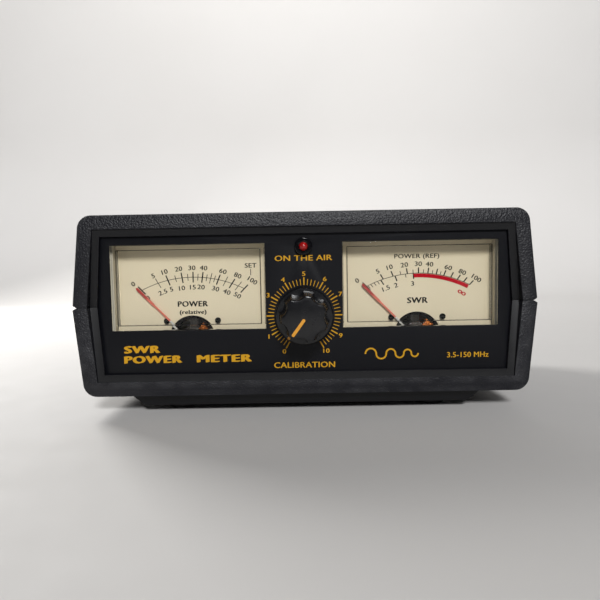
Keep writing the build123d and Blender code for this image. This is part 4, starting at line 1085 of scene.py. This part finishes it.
# %% Print the rear panel
SOCKET_WORD_RISE = 17.0 * MM
SOCKET_WORD_HEIGHT = 1.9 * MM
rear_print = []
for node, text in (("transmitter_socket", "TRANSMITTER"), ("antenna_socket", "ANTENNA")):
    middle = centre(node)
    z = middle.z + SOCKET_WORD_RISE
    rear_print.append(
        words(text, middle.x, z, REAR_FACE, SOCKET_WORD_HEIGHT, strikes=BOLD, behind=True)
    )
printed("rear_print", rear_print, panel_ink)
bpy.data.objects.remove(stroke)

# %% [markdown]
# ## Table and backdrop
# A pale sweep stands for the table and the wall behind it. A plane is extruded upwards from its
# far edge, and the fold is bevelled, so that no line shows behind the instrument.

# %% Make the sweep
SWEEP_WIDTH = 3.0
SWEEP_HEIGHT = 1.5
SWEEP_BACK = 0.9
SWEEP_FRONT = -2.1
SWEEP_FOLD = 0.35
FOLD_SEGMENTS = 16
SWEEP_GRAIN = (1.5 * MM, 0.01 * MM)
SWEEP_CLOUDS = 0.25

deselect()
bpy.ops.mesh.primitive_plane_add(size=1, location=(0, (SWEEP_BACK + SWEEP_FRONT) / 2, 0))
bpy.context.object.scale = (SWEEP_WIDTH, SWEEP_BACK - SWEEP_FRONT, 1)
bpy.ops.object.transform_apply()
floor = bpy.context.object
floor.name = "sweep"
bpy.ops.object.mode_set(mode="EDIT")
bpy.ops.mesh.select_mode(type="EDGE")
bpy.ops.mesh.select_all(action="DESELECT")
bpy.ops.object.mode_set(mode="OBJECT")
for edge in floor.data.edges:
    edge.select = all(floor.data.vertices[v].co.y > SWEEP_BACK - MM for v in edge.vertices)
bpy.ops.object.mode_set(mode="EDIT")
bpy.ops.mesh.extrude_region_move(TRANSFORM_OT_translate={"value": (0, 0, SWEEP_HEIGHT)})
bpy.ops.mesh.select_all(action="DESELECT")
bpy.ops.object.mode_set(mode="OBJECT")
for edge in floor.data.edges:
    ends = [floor.data.vertices[v].co for v in edge.vertices]
    edge.select = all(end.y > SWEEP_BACK - MM and end.z < MM for end in ends)
bpy.ops.object.mode_set(mode="EDIT")
bpy.ops.mesh.bevel(offset=SWEEP_FOLD, segments=FOLD_SEGMENTS)
bpy.ops.object.mode_set(mode="OBJECT")
bpy.ops.object.shade_smooth()
finish(
    "sweep", "pale table paint", (0.575, 0.562, 0.546), (0.56, 0.546, 0.529), (0.7, 0.8),
    SWEEP_GRAIN, drift=SWEEP_CLOUDS,
)
floor.data.materials.append(finishes["sweep"])
print("sweep faces:", len(floor.data.polygons))

# %% [markdown]
# ## Light
# One soft light stands above and behind, to the left. It leaves a pale rim on top of the case and
# a soft shadow in front of it. A second one brightens the wall, and a far light from in front and
# above shows the dials. A dim, even surround fills the rest.

# %% Set the surround
SURROUND = (0.93, 0.95, 1.0, 1.0)
SURROUND_STRENGTH = 0.07

world = bpy.data.worlds.new("studio")
scene.world = world
world.use_nodes = True
surround = world.node_tree.nodes["Background"]
surround.inputs["Color"].default_value = SURROUND
surround.inputs["Strength"].default_value = SURROUND_STRENGTH
print("surround strength:", SURROUND_STRENGTH)

# %% [markdown]
# A square lamp's light is soft in proportion to its size and nearness. A far light has no place,
# only a direction, and its softness is the angle that it fills.

# %% Two kinds of light


def area_light(name, place, aim, size, watts, colour):
    """A square soft light at a place, turned to face an aim."""
    lamp = bpy.data.lights.new(name, "AREA")
    lamp.size = size
    lamp.energy = watts
    lamp.color = colour
    holder = bpy.data.objects.new(name, lamp)
    scene.collection.objects.link(holder)
    holder.location = place
    holder.rotation_euler = (Vector(aim) - Vector(place)).to_track_quat("-Z", "Y").to_euler()


def far_light(name, towards, spread, strength, colour):
    """A soft light from so far away that it is even everywhere; towards points at it."""
    lamp = bpy.data.lights.new(name, "SUN")
    lamp.angle = math.radians(spread)
    lamp.energy = strength
    lamp.color = colour
    holder = bpy.data.objects.new(name, lamp)
    scene.collection.objects.link(holder)
    holder.rotation_euler = Vector(towards).to_track_quat("Z", "Y").to_euler()


print("helpers: area_light, far_light")

# %% [markdown]
# The lamp behind is low and small enough to keep the rim of light narrow. The wall has a larger
# one of its own, aimed away from the case. The far light comes from high enough that the two
# windows send its mirror image down, and not to the eye.

# %% Set the lights
OVERHEAD_PLACE = (-0.5, 0.4, 0.42)
OVERHEAD_AIM = (0, -0.08, 0)
OVERHEAD_SIZE = 0.24
OVERHEAD_WATTS = 4.8
OVERHEAD_COLOUR = (1.0, 0.99, 0.97)
BACKDROP_PLACE = (0, 0.25, 1.2)
BACKDROP_AIM = (0, 0.9, 1.1)
BACKDROP_SIZE = 0.8
BACKDROP_WATTS = 8.2
BACKDROP_COLOUR = (1.0, 0.99, 0.975)
FRONT_TOWARDS = (0.1, -0.82, 0.57)
FRONT_SPREAD = 14
FRONT_STRENGTH = 2.65
FRONT_COLOUR = (0.98, 0.985, 1.0)

area_light(
    "overhead", OVERHEAD_PLACE, OVERHEAD_AIM, OVERHEAD_SIZE, OVERHEAD_WATTS, OVERHEAD_COLOUR
)
area_light(
    "backdrop", BACKDROP_PLACE, BACKDROP_AIM, BACKDROP_SIZE, BACKDROP_WATTS, BACKDROP_COLOUR
)
far_light("front", FRONT_TOWARDS, FRONT_SPREAD, FRONT_STRENGTH, FRONT_COLOUR)
print("lights:", [lamp.name for lamp in bpy.data.lights])

# %% [markdown]
# ## Camera
# The eye is a hand's width in front of the panel, a little above the seam, and looks slightly
# down. A wide lens that near gives the strong perspective of a close view, in which the sides of
# the case almost vanish.

# %% Place the camera
LENS = 30.0
EYE_DISTANCE = 166 * MM
EYE_RISE = 11.5 * MM
EYE_SHIFT = -0.45 * MM
LOOK_DOWN = math.radians(3.45)
LOOK_LEFT = math.radians(0.33)
TILT = math.radians(1.045)

lens = bpy.data.cameras.new("eye")
lens.lens = LENS
lens.clip_start = MM
camera = bpy.data.objects.new("eye", lens)
scene.collection.objects.link(camera)
camera.location = (EYE_SHIFT, PROW - EYE_DISTANCE, SEAM + EYE_RISE)
turned = (
    Matrix.Rotation(LOOK_LEFT, 3, "Z")
    @ Matrix.Rotation(UPRIGHT - LOOK_DOWN, 3, "X")
    @ Matrix.Rotation(-TILT, 3, "Z")
)
camera.rotation_euler = turned.to_euler()
scene.camera = camera
scene.view_settings.view_transform = "Standard"
print("eye at, in mm:", [round(value / MM, 1) for value in camera.location])
